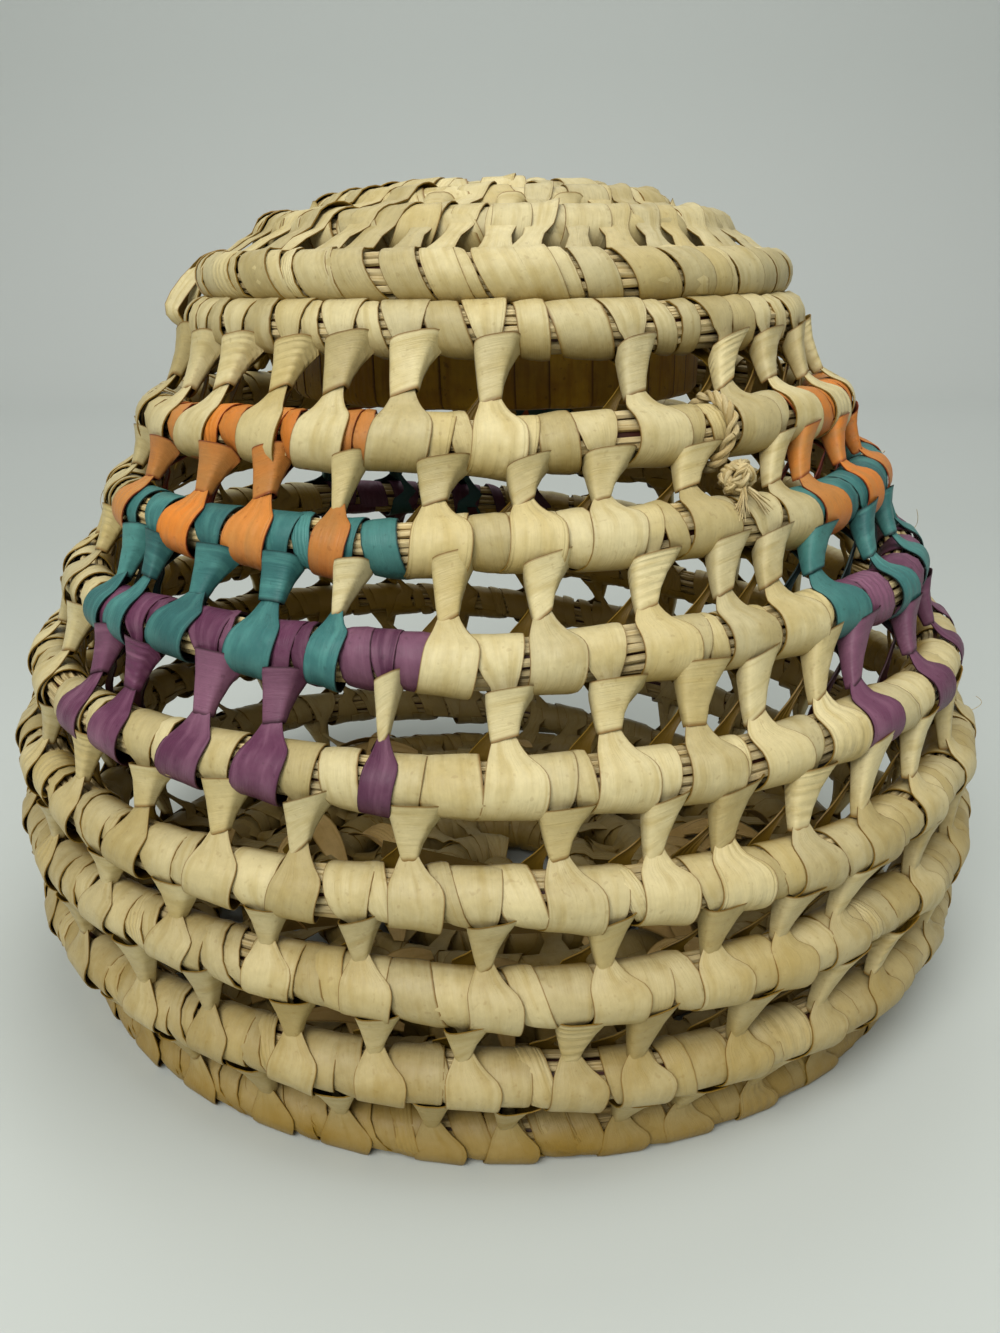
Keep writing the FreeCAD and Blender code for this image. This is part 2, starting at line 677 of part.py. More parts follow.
def tie_loop():
    """Straw cord looped round the turn below the neck."""
    carrier = turn_place(NECK - 1, TIE_AZIMUTH)
    cord_radius = size("tie_cord_radius")
    ring_radius = coil_radius + seat_gap + cord_radius
    sections = []
    for step in range(TIE_STEPS):
        lean = 2 * math.pi * step / TIE_STEPS
        middle = in_plane(TIE_AZIMUTH, off_from(carrier, ring_radius, lean))
        ring = []
        for side in range(TIE_SIDES):
            turned = 2 * math.pi * side / TIE_SIDES
            outer = leaning(TIE_AZIMUTH, lean) * (cord_radius * math.cos(turned))
            across = sideways(TIE_AZIMUTH) * (cord_radius * math.sin(turned))
            ring.append(middle + outer + across)
        sections.append(Part.makePolygon(ring + ring[:1]))
    half = TIE_STEPS // 2
    upper = Part.makeLoft(sections[:half + 1], True, True)
    lower = Part.makeLoft(sections[half:] + sections[:1], True, True)
    add_shape("tie_loop", upper.fuse(lower))


def tie_knot():
    """Ball knot of the straw cord: rings of corners from its near side to its far side."""
    middle, lean = tie_knot_place()
    radius = size("tie_knot_radius")
    toward = leaning(TIE_AZIMUTH, lean)
    upward = leaning(TIE_AZIMUTH, lean + math.pi / 2)
    reach = radius / math.cos(math.pi / 2 / BALL_RINGS)
    rings = []
    for ring in range(BALL_RINGS):
        polar = math.pi * (ring + 0.5) / BALL_RINGS
        centre = middle - toward * (reach * math.cos(polar))
        corners = []
        for side in range(BALL_SIDES):
            turned = 2 * math.pi * side / BALL_SIDES
            spoke = upward * math.cos(turned) + sideways(TIE_AZIMUTH) * math.sin(turned)
            corners.append(centre + spoke * (radius * math.sin(polar)))
        rings.append(Part.makePolygon(corners + corners[:1]))
    add_shape("tie_knot", Part.makeLoft(rings, True, True))


def tie_ends():
    """The cord's two loose ends, which spread from the far side of the knot and grow thin."""
    middle = tie_knot_place()[0]
    start = size("tie_knot_radius") + seat_gap
    marks = [(start, size("tie_tail_radius")), (start + size("tie_tail_length"), size("tie_tail_tip"))]
    ends = []
    for side in (-1, 1):
        down = leaning(TIE_AZIMUTH, TIE_TAIL_LEAN) * math.cos(TIE_TAIL_SPREAD)
        down += sideways(TIE_AZIMUTH) * (side * math.sin(TIE_TAIL_SPREAD))
        flat = down.cross(leaning(TIE_AZIMUTH, TIE_TAIL_LEAN + math.pi / 2))
        flat.normalize()
        rows = []
        for away, radius in marks:
            centre = middle + down * away
            wide = flat * radius
            deep = down.cross(flat) * radius
            near = [centre - wide - deep, centre + wide - deep]
            rows.append(near + [centre + wide + deep, centre - wide + deep])
        ends.append(flat_faced(rows))
    add_group("tie_ends", ends)


flange_top = carried_top(flange_inner, flange_outer)

for turn in range(TURN_COUNT):
    wall_turn(turn)
base_coil()
lid_coils()
wall_stitches()
base_knots()
lid_knots()
middle_button("base_button", base_place(0), "base_start_radius")
middle_button("lid_button", lid_place(lid_turns, 0), "lid_start_radius")
lid_flange()
flange_tacks()
hinge_loop()
tie_loop()
tie_knot()
tie_ends()
doc.recompute()

broken = [thing.Name for thing in doc.Objects if {"Invalid", "Error"} & set(thing.State)]
if broken:
    raise SystemExit("could not be built: " + ", ".join(broken))
kinds = ("Part::Feature", "Part::Cylinder", "PartDesign::Body")
subparts = [thing for thing in doc.Objects if thing.TypeId in kinds]
os.makedirs("parts", exist_ok=True)
for thing in subparts:
    if thing.Shape.isNull() or not thing.Shape.isValid():
        raise SystemExit("not a sound solid: " + thing.Label)
for thing in subparts:
    thing.Shape.exportStep("parts/%s.step" % thing.Label)
    print("%-16s %3d solids" % (thing.Label, len(thing.Shape.Solids)))
print(len(subparts), "sub-parts")
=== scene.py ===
import copy
import math
import bpy
import numpy as np
from mathutils import Matrix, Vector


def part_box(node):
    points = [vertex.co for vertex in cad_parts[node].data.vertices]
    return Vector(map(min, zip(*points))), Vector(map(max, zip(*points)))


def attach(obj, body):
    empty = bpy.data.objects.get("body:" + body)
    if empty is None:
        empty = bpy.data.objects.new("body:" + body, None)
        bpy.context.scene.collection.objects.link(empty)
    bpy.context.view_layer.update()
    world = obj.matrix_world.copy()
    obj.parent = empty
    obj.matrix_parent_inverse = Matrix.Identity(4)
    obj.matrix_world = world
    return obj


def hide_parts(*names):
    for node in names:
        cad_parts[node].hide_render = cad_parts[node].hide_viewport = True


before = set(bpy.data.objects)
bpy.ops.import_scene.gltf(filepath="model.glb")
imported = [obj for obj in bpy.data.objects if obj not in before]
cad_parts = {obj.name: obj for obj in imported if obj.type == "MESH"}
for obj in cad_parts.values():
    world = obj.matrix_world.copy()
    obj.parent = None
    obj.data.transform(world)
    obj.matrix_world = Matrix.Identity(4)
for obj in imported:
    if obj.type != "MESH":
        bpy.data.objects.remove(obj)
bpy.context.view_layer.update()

# Lidded basket of coiled palm strip. Sizes are in millimetres and become metres when a mesh is made.
# An azimuth is in degrees, 0 at the front and growing towards +X. A lean is in degrees too: it is
# the angle of a place on a coil, in the upright plane at an azimuth, above the outward direction.
METRES = 0.001
BELLY_RADIUS = 144.0
NECK_HEIGHT = 199.3
FOOT_HEIGHT = 5.9
COIL_RADIUS = 6.4
SEAT_GAP = 0.3
FLOOR_GAP = 0.1
TURN_HEIGHT_SHARES = np.array([0.0, 0.130, 0.262, 0.381, 0.511, 0.641, 0.761, 0.873, 1.0])
TURN_RADIUS_SHARES = np.array([0.907, 0.989, 1.009, 1.0, 0.953, 0.870, 0.777, 0.698, 0.594])
TURN_TILT_DEGREES = [0.0, -1.2, -1.2, -0.5, 0.4, 0.7, 1.0, 0.7, 0.0]
NECK = len(TURN_RADIUS_SHARES) - 1
TURN_NAMES = ["foot_turn"] + ["wall_turn_%d" % number for number in range(2, NECK + 1)] + ["neck_turn"]
OPEN_SHARES = [0.04, 0.1, 0.15, 0.22, 0.3, 0.35, 0.35, 0.25, 0.22]
PINCH_SHARES = [0.95, 0.9, 0.85, 0.55, 0.4, 0.3, 0.25, 0.2]
DYED_GAPS = {4: "purple_stitches", 5: "teal_stitches", 6: "orange_stitches"}
TIP_SHARE = 0.45
START_RADIUS = 13.0
BASE_TURNS = 5
BASE_RISE = 2.6
BASE_WRAP_PITCH = 12.0
BASE_WRAP_REACH = 6.2
LID_TURNS = 4
LID_RISE = 19.0
LID_END_AZIMUTH = 100.0
EYE_SWEEP = 118.0
HINGE_AZIMUTH = -90.0
HINGE_ROOM = 13.0
TIE_AZIMUTH = 30.7
TIE_REACH = 8.35
TIE_STRAWS = 26
STITCH_TRIANGLES = 36
KNOT_TRIANGLES = 12
STRIP_WIDTH = 14.0
STRIP_THICKNESS = 0.5
LOOP_THICKNESS = 0.45
LEAF_THICKNESS = 0.4
SOFT_EDGE_SHARE = 0.35
LEANING_SHARE = 0.35
# Inner value of strip undersides: above 1, painted shade that the leaf group darkens further.
UNDERSIDE_SHADE = 1.6
WRAP_REACH = 6.5
NARROWEST_WRAP = 5.0
STEMS = 14
STEM_REACH = 4.85
# Radius of the dark coil core, painted shade that shows between the stems.
CORE_SHADE_RADIUS = 4.2
FLANGE_STRIPS = 38
FLANGE_STRIP_WIDTH = 13.0
FLANGE_WALL = 5.0
TACK_WIDTH = 6.0
HAIRS = 26
TAILS = 64
UP = np.array([0, 0, 1.0])

rim_lean = 90 - 22.5
rim_offset = COIL_RADIUS * (1 + math.cos(math.pi / 8)) + SEAT_GAP
rim_radius = BELLY_RADIUS * TURN_RADIUS_SHARES[NECK] - rim_offset * math.cos(math.radians(rim_lean))
rim_height = NECK_HEIGHT + rim_offset * math.sin(math.radians(rim_lean))
foot_radius = BELLY_RADIUS * TURN_RADIUS_SHARES[0]
foot_start_radius = foot_radius - (foot_radius - START_RADIUS) / (BASE_TURNS + 0.5) / 2
base_pitch = (foot_start_radius - START_RADIUS) / BASE_TURNS
lid_pitch = (rim_radius - START_RADIUS) / LID_TURNS
chance = np.random.default_rng(41)


def unit(vectors):
    """Vectors divided by their lengths."""
    return vectors / np.maximum(np.linalg.norm(vectors, axis=-1, keepdims=True), 1e-9)


def square_to(vectors, along):
    """Unit vectors: what is left of some vectors without their part along given unit ones."""
    return unit(vectors - along * (vectors * along).sum(-1, keepdims=True))


def outward(azimuth):
    """Unit vectors away from the axis: sine and minus cosine of the azimuth, level."""
    angle = np.radians(azimuth)
    return np.stack([np.sin(angle), -np.cos(angle), np.zeros_like(angle)], -1)


def sideways(azimuth):
    """Unit vectors along a turn, towards larger azimuths."""
    angle = np.radians(azimuth)
    return np.stack([np.cos(angle), np.sin(angle), np.zeros_like(angle)], -1)


def leaning(azimuth, lean):
    """Unit vectors in the upright plane at an azimuth: cosine of the lean outward, sine upward."""
    azimuth, lean = np.broadcast_arrays(np.asarray(azimuth, float), np.asarray(lean, float))
    tilt = np.radians(lean)[..., None]
    return outward(azimuth) * np.cos(tilt) + UP * np.sin(tilt)


def on_coil(place, azimuth, lean, away):
    """Points at a distance and a lean from a coil's middle, whose place is a function of azimuth."""
    azimuth, lean, away = np.broadcast_arrays(np.asarray(azimuth, float), lean, away)
    radius, height = place(azimuth)
    middle = outward(azimuth) * radius[..., None]
    middle[..., 2] = height
    return middle + leaning(azimuth, lean) * away[..., None]


def front_radius(place):
    """Radius of a coil's middle at the front."""
    return float(place(np.array(0.0))[0])


def wound(levels, turn, azimuth):
    """Radius and height of a winding's middle: level round the front, and over the back it passes
    with the square of the angle beyond 90 degrees to halfway to the turn before or after."""
    levels = np.asarray(levels, float)
    azimuth = np.asarray(azimuth, float)
    other = np.where(azimuth[..., None] > 0, levels[turn + 2], levels[turn])
    climb = np.maximum(np.abs(azimuth) / 90 - 1, 0)[..., None] ** 2 / 2
    place = levels[turn + 1] + (other - levels[turn + 1]) * climb
    return place[..., 0], place[..., 1]


def wall_levels():
    """Places of the wall's turns from the foot up, with the base's last turn and the neck's tip."""
    heights = FOOT_HEIGHT + (NECK_HEIGHT - FOOT_HEIGHT) * TURN_HEIGHT_SHARES
    places = np.stack([BELLY_RADIUS * TURN_RADIUS_SHARES, heights], -1)
    start = places[-2:].mean(0)
    tip = start + unit(places[-1] - start) * (COIL_RADIUS * (1 + TIP_SHARE) + SEAT_GAP)
    first = [2 * foot_start_radius - foot_radius, FOOT_HEIGHT]
    return np.vstack([first, places, places[-1] + (tip - places[-1]) * 2])


def wall_place(turn):
    """The middle of a wall turn as a function of azimuth: wound, tilted and a little uneven."""
    levels = wall_levels()
    phases = np.random.default_rng(300 + turn).uniform(0, 2 * np.pi, 4)

    def place(azimuth):
        radius, height = wound(levels, turn, azimuth)
        angle = np.radians(azimuth)
        hold = (1 + np.cos(angle)) / 2 if turn not in (0, NECK) else 0
        height = height + math.tan(math.radians(TURN_TILT_DEGREES[turn])) * radius * np.sin(angle)
        height = height + hold * (0.7 * np.sin(5 * angle + phases[0]) + 0.4 * np.sin(13 * angle + phases[1]))
        radius = radius + hold * (0.5 * np.sin(6 * angle + phases[2]) + 0.3 * np.sin(11 * angle + phases[3]))
        return radius, height

    return place


def lid_place(turn):
    """The middle of a lid turn as a function of azimuth. Turn 0 is the rim, and the dome's height
    falls off with the cube of the radius."""
    radii = rim_radius - lid_pitch * np.arange(LID_TURNS + 1)
    places = np.stack([radii, rim_height + LID_RISE * (1 - (radii / rim_radius) ** 3)], -1)
    levels = np.vstack([places[:1], places, places[-1:]])
    return lambda azimuth: wound(levels, turn, azimuth)


def base_place(ring):
    """The middle of one ring of the base as a function of azimuth: radius and height change
    evenly with the turns, and the last ring is the foot turn."""
    if ring == BASE_TURNS:
        return wall_place(0)

    def place(azimuth):
        turns = ring + (np.asarray(azimuth, float) + 180) / 360
        height = COIL_RADIUS + SEAT_GAP + BASE_RISE * (1 - turns / BASE_TURNS)
        return START_RADIUS + base_pitch * turns, height

    return place


def eye_place(turn_place):
    """Where the coil's start lies: it leaves the innermost turn and curls in towards the button."""
    def place(azimuth):
        radius, height = turn_place(np.array(LID_END_AZIMUTH))
        along = (np.asarray(azimuth, float) - LID_END_AZIMUTH) / EYE_SWEEP
        return radius - 6.0 * along ** 2, height + 0.8 * along

    return place


def shells_of(ring_points, columns, tone, inner, across, along):
    """Closed shells of four-cornered faces round grids of rings, with a cap on the first and the
    last ring, and turned so that each shell's signed volume is positive."""
    count, rows, loop = ring_points.shape[:3]
    row, spot = np.meshgrid(np.arange(rows - 1), np.arange(loop), indexing="ij")
    here, after = row * loop + spot, row * loop + (spot + 1) % loop
    sides = np.stack([here, after, after + loop, here + loop], -1)
    spot = np.arange(columns - 1)
    cap = np.stack([spot, loop - 1 - spot, loop - 2 - spot, spot + 1], -1)
    faces = np.concatenate([sides.reshape(-1, 4), cap, cap[:, ::-1] + (rows - 1) * loop])
    points = ring_points.reshape(count, -1, 3)
    corners = points[:, faces] - points[:, :1, None]
    first, second, third, fourth = np.moveaxis(corners, 2, 0)
    volume = (first * (np.cross(second, third) + np.cross(third, fourth))).sum((1, 2))
    turned = np.where((volume < 0)[:, None, None], faces[None, :, ::-1], faces[None])
    turned = turned + np.arange(count)[:, None, None] * (rows * loop)
    uv = np.stack(np.broadcast_arrays(across, along), -1).reshape(-1, 2)
    tone = np.broadcast_to(tone[:, None, None], ring_points.shape[:3]).reshape(-1)
    return points.reshape(-1, 3), turned.reshape(-1, 4), uv, tone, inner.reshape(-1)


def painted_inside_shade(points, normals):
    """How much painted shade a surface gets, from 0 to 1: wholly where it looks at the middle of the
    basket, and partly where it looks down."""
    towards = unit(np.array([0, 0, 105.0]) - points)
    inside = np.clip(((normals * towards).sum(-1) - 0.1) / 0.5, 0, 1) * np.clip(points[..., 2] / 70, 0.6, 1)
    return np.maximum(inside, np.clip(0.08 - normals[..., 2], 0, 1) * 0.7)


def lengths_along(paths):
    """How far along its path each point lies, in strip widths."""
    steps = np.linalg.norm(np.diff(paths, axis=1), axis=-1)
    return np.concatenate([np.zeros((len(paths), 1)), np.cumsum(steps, 1)], 1)[:, :, None] / STRIP_WIDTH


def strip_shells(top, thickness, tone, faces_out=None):
    """Thin closed strips under grids of points, strips by rows by columns.

    The outward normal at each point is the cross product of the grid's steps along and across,
    where none is given. The lower side is the upper one moved in by the thickness, and the upper
    side's two edge columns are lowered by a share of it, so that the strip's edge is soft. The
    underside gets painted shade: its inner value is set above 1, which the leaf group darkens.
    """
    if faces_out is None:
        faces_out = np.cross(np.gradient(top, axis=1), np.gradient(top, axis=2))
    normal = unit(faces_out)
    lower = top - normal * thickness
    upper = top.copy()
    upper[:, :, [0, -1]] -= normal[:, :, [0, -1]] * thickness * SOFT_EDGE_SHARE
    rings = np.concatenate([upper, lower[:, :, ::-1]], 2)
    normals = np.concatenate([normal, -normal[:, :, ::-1]], 2)
    columns = top.shape[2]
    share = np.linspace(0, 1, columns)
    share = np.concatenate([share, share[::-1]])[None, None]
    inner = painted_inside_shade(rings, normals)
    # Painted shade on the underside, above 1 so that the leaf group darkens it further.
    inner[:, :, columns:] = UNDERSIDE_SHADE
    return shells_of(rings, columns, tone, inner, share, lengths_along(top[:, :, columns // 2]))


def tube_shells(paths, radii, sides, tone, up):
    """Closed round tubes along paths of points: rings of equal angles about each path's direction,
    starting from the part of an up vector that is square to it."""
    along = unit(np.gradient(paths, axis=1))
    first = square_to(up, along)
    second = np.cross(along, first)
    angle = 2 * np.pi * np.arange(sides) / sides
    spokes = first[:, :, None] * np.cos(angle)[:, None] + second[:, :, None] * np.sin(angle)[:, None]
    rings = paths[:, :, None] + spokes * np.broadcast_to(radii, paths.shape[:2])[:, :, None, None]
    share = np.arange(sides)[None, None] / sides
    # Painted shade where the tube looks inward or down.
    return shells_of(rings, sides // 2, tone, painted_inside_shade(rings, spokes), share, lengths_along(paths))


def joined(shells):
    """Several sets of shells as one."""
    starts = np.cumsum([0] + [len(one[0]) for one in shells[:-1]])
    faces = np.concatenate([one[1] + start for one, start in zip(shells, starts)])
    points, uv, tone, inner = (np.concatenate([one[column] for one in shells]) for column in (0, 2, 3, 4))
    return points, faces, uv, tone, inner


def make_piece(name, body, nodes, layers):
    """One mesh from layers of shells, each with its own material, riding on a body."""
    points, faces, uv, tone, inner = joined([shells for shells, material in layers])
    mesh = bpy.data.meshes.new(name)
    mesh.from_pydata((points * METRES).tolist(), [], faces.tolist())
    corners = np.empty(len(mesh.loops), np.int32)
    mesh.loops.foreach_get("vertex_index", corners)
    mesh.uv_layers.new(name="UVMap").data.foreach_set("uv", uv[corners].astype(np.float32).ravel())
    # The inner attribute carries painted shade for the leaf group.
    for label, values in (("tone", tone), ("inner", inner)):
        mesh.attributes.new(label, "FLOAT", "POINT").data.foreach_set("value", values.astype(np.float32))
    palette = []
    for shells, material in layers:
        if material not in palette:
            palette.append(material)
            mesh.materials.append(material)
    index = np.concatenate([np.full(len(shells[1]), palette.index(material)) for shells, material in layers])
    mesh.polygons.foreach_set("material_index", index.astype(np.int32))
    mesh.polygons.foreach_set("use_smooth", np.ones(len(faces), bool))
    mesh.set_sharp_from_angle(angle=math.radians(52))
    mesh.update()
    piece = bpy.data.objects.new(name, mesh)
    bpy.context.scene.collection.objects.link(piece)
    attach(piece, body)
    if nodes:
        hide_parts(*nodes)
    return piece


def box_of(node):
    """Lowest and highest corner of a CAD node."""
    return [np.array(corner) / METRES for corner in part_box(node)]


def solids_of(node, triangles):
    """Middles of a CAD node's separate solids, which have as many triangles each."""
    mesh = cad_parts[node].data
    points = np.empty(len(mesh.vertices) * 3)
    mesh.vertices.foreach_get("co", points)
    corners = np.empty(len(mesh.loops), np.int32)
    mesh.loops.foreach_get("vertex_index", corners)
    return points.reshape(-1, 3)[corners].reshape(-1, triangles * 3, 3).mean(1) / METRES


def azimuth_of(points):
    """Azimuths of points in degrees."""
    return np.degrees(np.arctan2(points[:, 0], -points[:, 1]))


class Recipe:
    """Adds shader nodes to one tree and joins them. A value is a socket, a number or a colour."""

    def __init__(self, tree):
        self.tree = tree

    def node(self, kind, **settings):
        made = self.tree.nodes.new(kind)
        for key, value in settings.items():
            setattr(made, key, value)
        return made

    def feed(self, socket, value):
        if isinstance(value, bpy.types.NodeSocket):
            self.tree.links.new(value, socket)
        else:
            socket.default_value = value

    def use(self, kind, output, inputs=(), **settings):
        """One output of a new node, whose inputs are pairs of a label or number and a value."""
        made = self.node(kind, **settings)
        for label, value in inputs:
            self.feed(made.inputs[label], value)
        return made.outputs[output]

    def calc(self, operation, *values):
        return self.use("ShaderNodeMath", 0, enumerate(values), operation=operation)

    def times(self, first, second):
        return self.calc("MULTIPLY", first, second)

    def scaled(self, value, factor, added):
        return self.calc("MULTIPLY_ADD", value, factor, added)

    def step(self, value, low, high):
        """0 below low, 1 above high, smooth between."""
        inputs = (("Value", value), ("From Min", low), ("From Max", high))
        return self.use("ShaderNodeMapRange", "Result", inputs, interpolation_type="SMOOTHSTEP")

    def mix(self, share, first, second, blend="MIX"):
        return self.use("ShaderNodeMix", 2, (("Factor", share), (6, first), (7, second)),
                        data_type="RGBA", blend_type=blend)

    def noise(self, vector, scale, detail=2.0, roughness=0.5):
        inputs = (("Vector", vector), ("Scale", scale), ("Detail", detail), ("Roughness", roughness))
        return self.use("ShaderNodeTexNoise", "Fac", inputs)

    def vector(self, x, y, z):
        return self.use("ShaderNodeCombineXYZ", 0, enumerate((x, y, z)))

    def darker(self, colour, light):
        return self.mix(1.0, colour, self.vector(light, light, light), "MULTIPLY")

    def parts(self, vector):
        """The three numbers of a vector."""
        split = self.node("ShaderNodeSeparateXYZ")
        self.feed(split.inputs[0], vector)
        return split.outputs[:]


LEAF_COLOURS = ["Leaf", "Shade", "Edge", "Inside"]
LEAF_MEASURES = ["Streaks", "Blotches", "Specks", "Inside share"]


def leaf_group():
    """Dried palm leaf: fibres along the strip, streaks, blotches, specks, dark edges that are painted
    seam shade, a tone for each strip, and painted shade on faces that look into the basket or down,
    on strip undersides and low near the floor."""
    group = bpy.data.node_groups.new("palm_leaf", "ShaderNodeTree")
    results = ["Color", "Roughness", "Height"]
    for way, labels in (("INPUT", LEAF_COLOURS + LEAF_MEASURES), ("OUTPUT", results)):
        for label in labels:
            kind = "NodeSocketColor" if label in LEAF_COLOURS + ["Color"] else "NodeSocketFloat"
            group.interface.new_socket(label, in_out=way, socket_type=kind)
    recipe = Recipe(group)
    given = recipe.node("NodeGroupInput").outputs
    put = recipe.node("NodeGroupOutput").inputs
    across, along = recipe.parts(recipe.use("ShaderNodeUVMap", 0, uv_map="UVMap"))[:2]
    tone = recipe.use("ShaderNodeAttribute", "Fac", attribute_name="tone")
    inside = recipe.use("ShaderNodeAttribute", "Fac", attribute_name="inner")
    place = recipe.use("ShaderNodeTexCoord", "Object")
    upright = recipe.parts(place)[2]
    seed = recipe.times(tone, 61.0)

    # Patterns: two that run along the strip and differ from strip to strip, and four in the round.
    finely = recipe.vector(recipe.times(across, 38.0), recipe.times(along, 1.7), seed)
    broadly = recipe.vector(recipe.times(across, 6.0), recipe.times(along, 0.9), seed)
    fibre = recipe.noise(finely, 1.0, 3.0, 0.6)
    streak = recipe.noise(broadly, 1.0)
    blotch = recipe.noise(place, 55.0, 4.0, 0.6)
    mottle = recipe.noise(place, 420.0, 3.0, 0.7)
    speck = recipe.noise(place, 620.0, 1.0)
    crumple = recipe.noise(place, 150.0)
    off_middle = recipe.calc("ABSOLUTE", recipe.scaled(across, 2.0, -1.0))
    ribs = recipe.times(recipe.calc("SINE", recipe.times(across, 44.0)), recipe.step(tone, 0.88, 0.9))

    # Colour: shade and edge colours over the leaf's own, then brighter and darker by fibre, tone and
    # mottle, then painted shade from the inner attribute.
    colour = given["Leaf"]
    for share, amount, label in (
            (recipe.step(streak, 0.45, 0.75), given["Streaks"], "Shade"),
            (recipe.step(blotch, 0.42, 0.72), given["Blotches"], "Shade"),
            (recipe.step(recipe.calc("FRACT", recipe.times(tone, 7.3)), 0.5, 1.0), 0.6, "Shade"),
            # The edge band is painted seam shade; the specks below use the same colour.
            (recipe.step(off_middle, 0.84, 1.0), 0.9, "Edge"),
            (recipe.step(speck, 0.66, 0.76), given["Specks"], "Edge")):
        colour = recipe.mix(recipe.times(share, amount), colour, given[label])
    light = recipe.scaled(mottle, 0.30, recipe.scaled(tone, 0.32, recipe.scaled(fibre, 0.20, 0.58)))
    colour = recipe.darker(colour, light)
    # Painted shade: the inner attribute mixes in the inside colour where faces look inward or down, and its
    # part above 1, on strip undersides, darkens further.
    under = recipe.calc("MAXIMUM", recipe.calc("SUBTRACT", inside, 1.0), 0.0)
    # More painted shade towards the floor: the inside colour, blotchy below 13 cm and fuller below 2.2 cm.
    low = recipe.times(recipe.step(upright, 0.13, 0.0), recipe.scaled(blotch, 0.6, 0.22))
    low = recipe.scaled(recipe.step(upright, 0.022, 0.0), 0.45, low)
    inside = recipe.calc("MAXIMUM", inside, low)
    colour = recipe.mix(recipe.times(inside, given["Inside share"]), colour, given["Inside"])
    recipe.feed(put["Color"], recipe.darker(colour, recipe.scaled(under, -0.8, 1.0)))
    recipe.feed(put["Roughness"], recipe.scaled(fibre, 0.3, 0.34))
    height = recipe.times(fibre, 0.6)
    for pattern, amount in ((blotch, 1.2), (mottle, 0.25), (crumple, 1.6), (ribs, 0.25)):
        height = recipe.scaled(pattern, amount, height)
    recipe.feed(put["Height"], height)
    return group


LEAF = leaf_group()


def palm(name, colours, streaks=0.6, blotches=0.65, specks=0.25, inside_shade_share=0.85, relief=0.5):
    """A palm material: the leaf group with its own colours and measures, under a satin shader."""
    material = bpy.data.materials.new(name)
    material.use_nodes = True
    recipe = Recipe(material.node_tree)
    leaf = recipe.node("ShaderNodeGroup", node_tree=LEAF)
    values = [(*colour, 1.0) for colour in colours] + [streaks, blotches, specks, inside_shade_share]
    for label, value in zip(LEAF_COLOURS + LEAF_MEASURES, values):
        leaf.inputs[label].default_value = value
    bump = recipe.use("ShaderNodeBump", 0, (("Strength", relief), ("Distance", 0.0006),
                                            ("Height", leaf.outputs["Height"])))
    shader = material.node_tree.nodes["Principled BSDF"]
    for label, value in (("Specular IOR Level", 0.33), ("Base Color", leaf.outputs["Color"]),
                         ("Roughness", leaf.outputs["Roughness"]), ("Normal", bump)):
        recipe.feed(shader.inputs[label], value)
    return material


# Each palm material's colours are those of the leaf, its shade colour for streaks and blotches, its
# edge, which is painted seam shade and also colours the specks, and its painted inside and underside shade.
# Painted shade colour for faces that look into the basket or down and for strip undersides.
INSIDE_SHADE_BROWN = (0.25, 0.145, 0.012)
natural = palm("natural_palm", [(0.59, 0.51, 0.275), (0.42, 0.325, 0.12), (0.17, 0.08, 0.010),
                                INSIDE_SHADE_BROWN], specks=0.2, inside_shade_share=0.95)
purple = palm("purple_palm", [(0.100, 0.026, 0.062), (0.23, 0.10, 0.155), (0.025, 0.004, 0.010),
                              (0.04, 0.006, 0.010)], blotches=0.6)
teal = palm("teal_palm", [(0.030, 0.125, 0.120), (0.080, 0.26, 0.23), (0.002, 0.016, 0.016),
                          (0.004, 0.022, 0.02)])
orange = palm("orange_palm", [(0.60, 0.19, 0.024), (0.42, 0.20, 0.055), (0.17, 0.028, 0.003),
                              (0.20, 0.025, 0.004)], blotches=0.7)
tail = palm("inner_leaf", [(0.74, 0.53, 0.22), (0.48, 0.28, 0.07), (0.17, 0.08, 0.010),
                           (0.48, 0.30, 0.07)], specks=0.2, inside_shade_share=0.6)
straw = palm("straw", [(0.68, 0.56, 0.30), (0.42, 0.29, 0.10), (0.68, 0.56, 0.30), INSIDE_SHADE_BROWN],
             streaks=0.7, blotches=0.5, inside_shade_share=0.8, relief=0.6)
# A near-black core inside each coil: painted shade that shows between the stems.
core_shade = palm("coil_core_shade", [(0.07, 0.02, 0.012), (0.04, 0.012, 0.008), (0.05, 0.02, 0.01),
                            (0.04, 0.015, 0.008)], streaks=0.5, blotches=0.5, specks=0.3, inside_shade_share=0.5)
# The flange is darker and more saturated than the natural palm: painted shade under the lid.
shaded_flange = palm("shaded_flange_palm", [(0.50, 0.29, 0.02), (0.30, 0.14, 0.006), (0.07, 0.02, 0.002),
                            (0.24, 0.12, 0.008)], streaks=0.8, blotches=0.9, specks=0.4, inside_shade_share=0.5)
DYES = {"purple_stitches": purple, "teal_stitches": teal, "orange_stitches": orange}

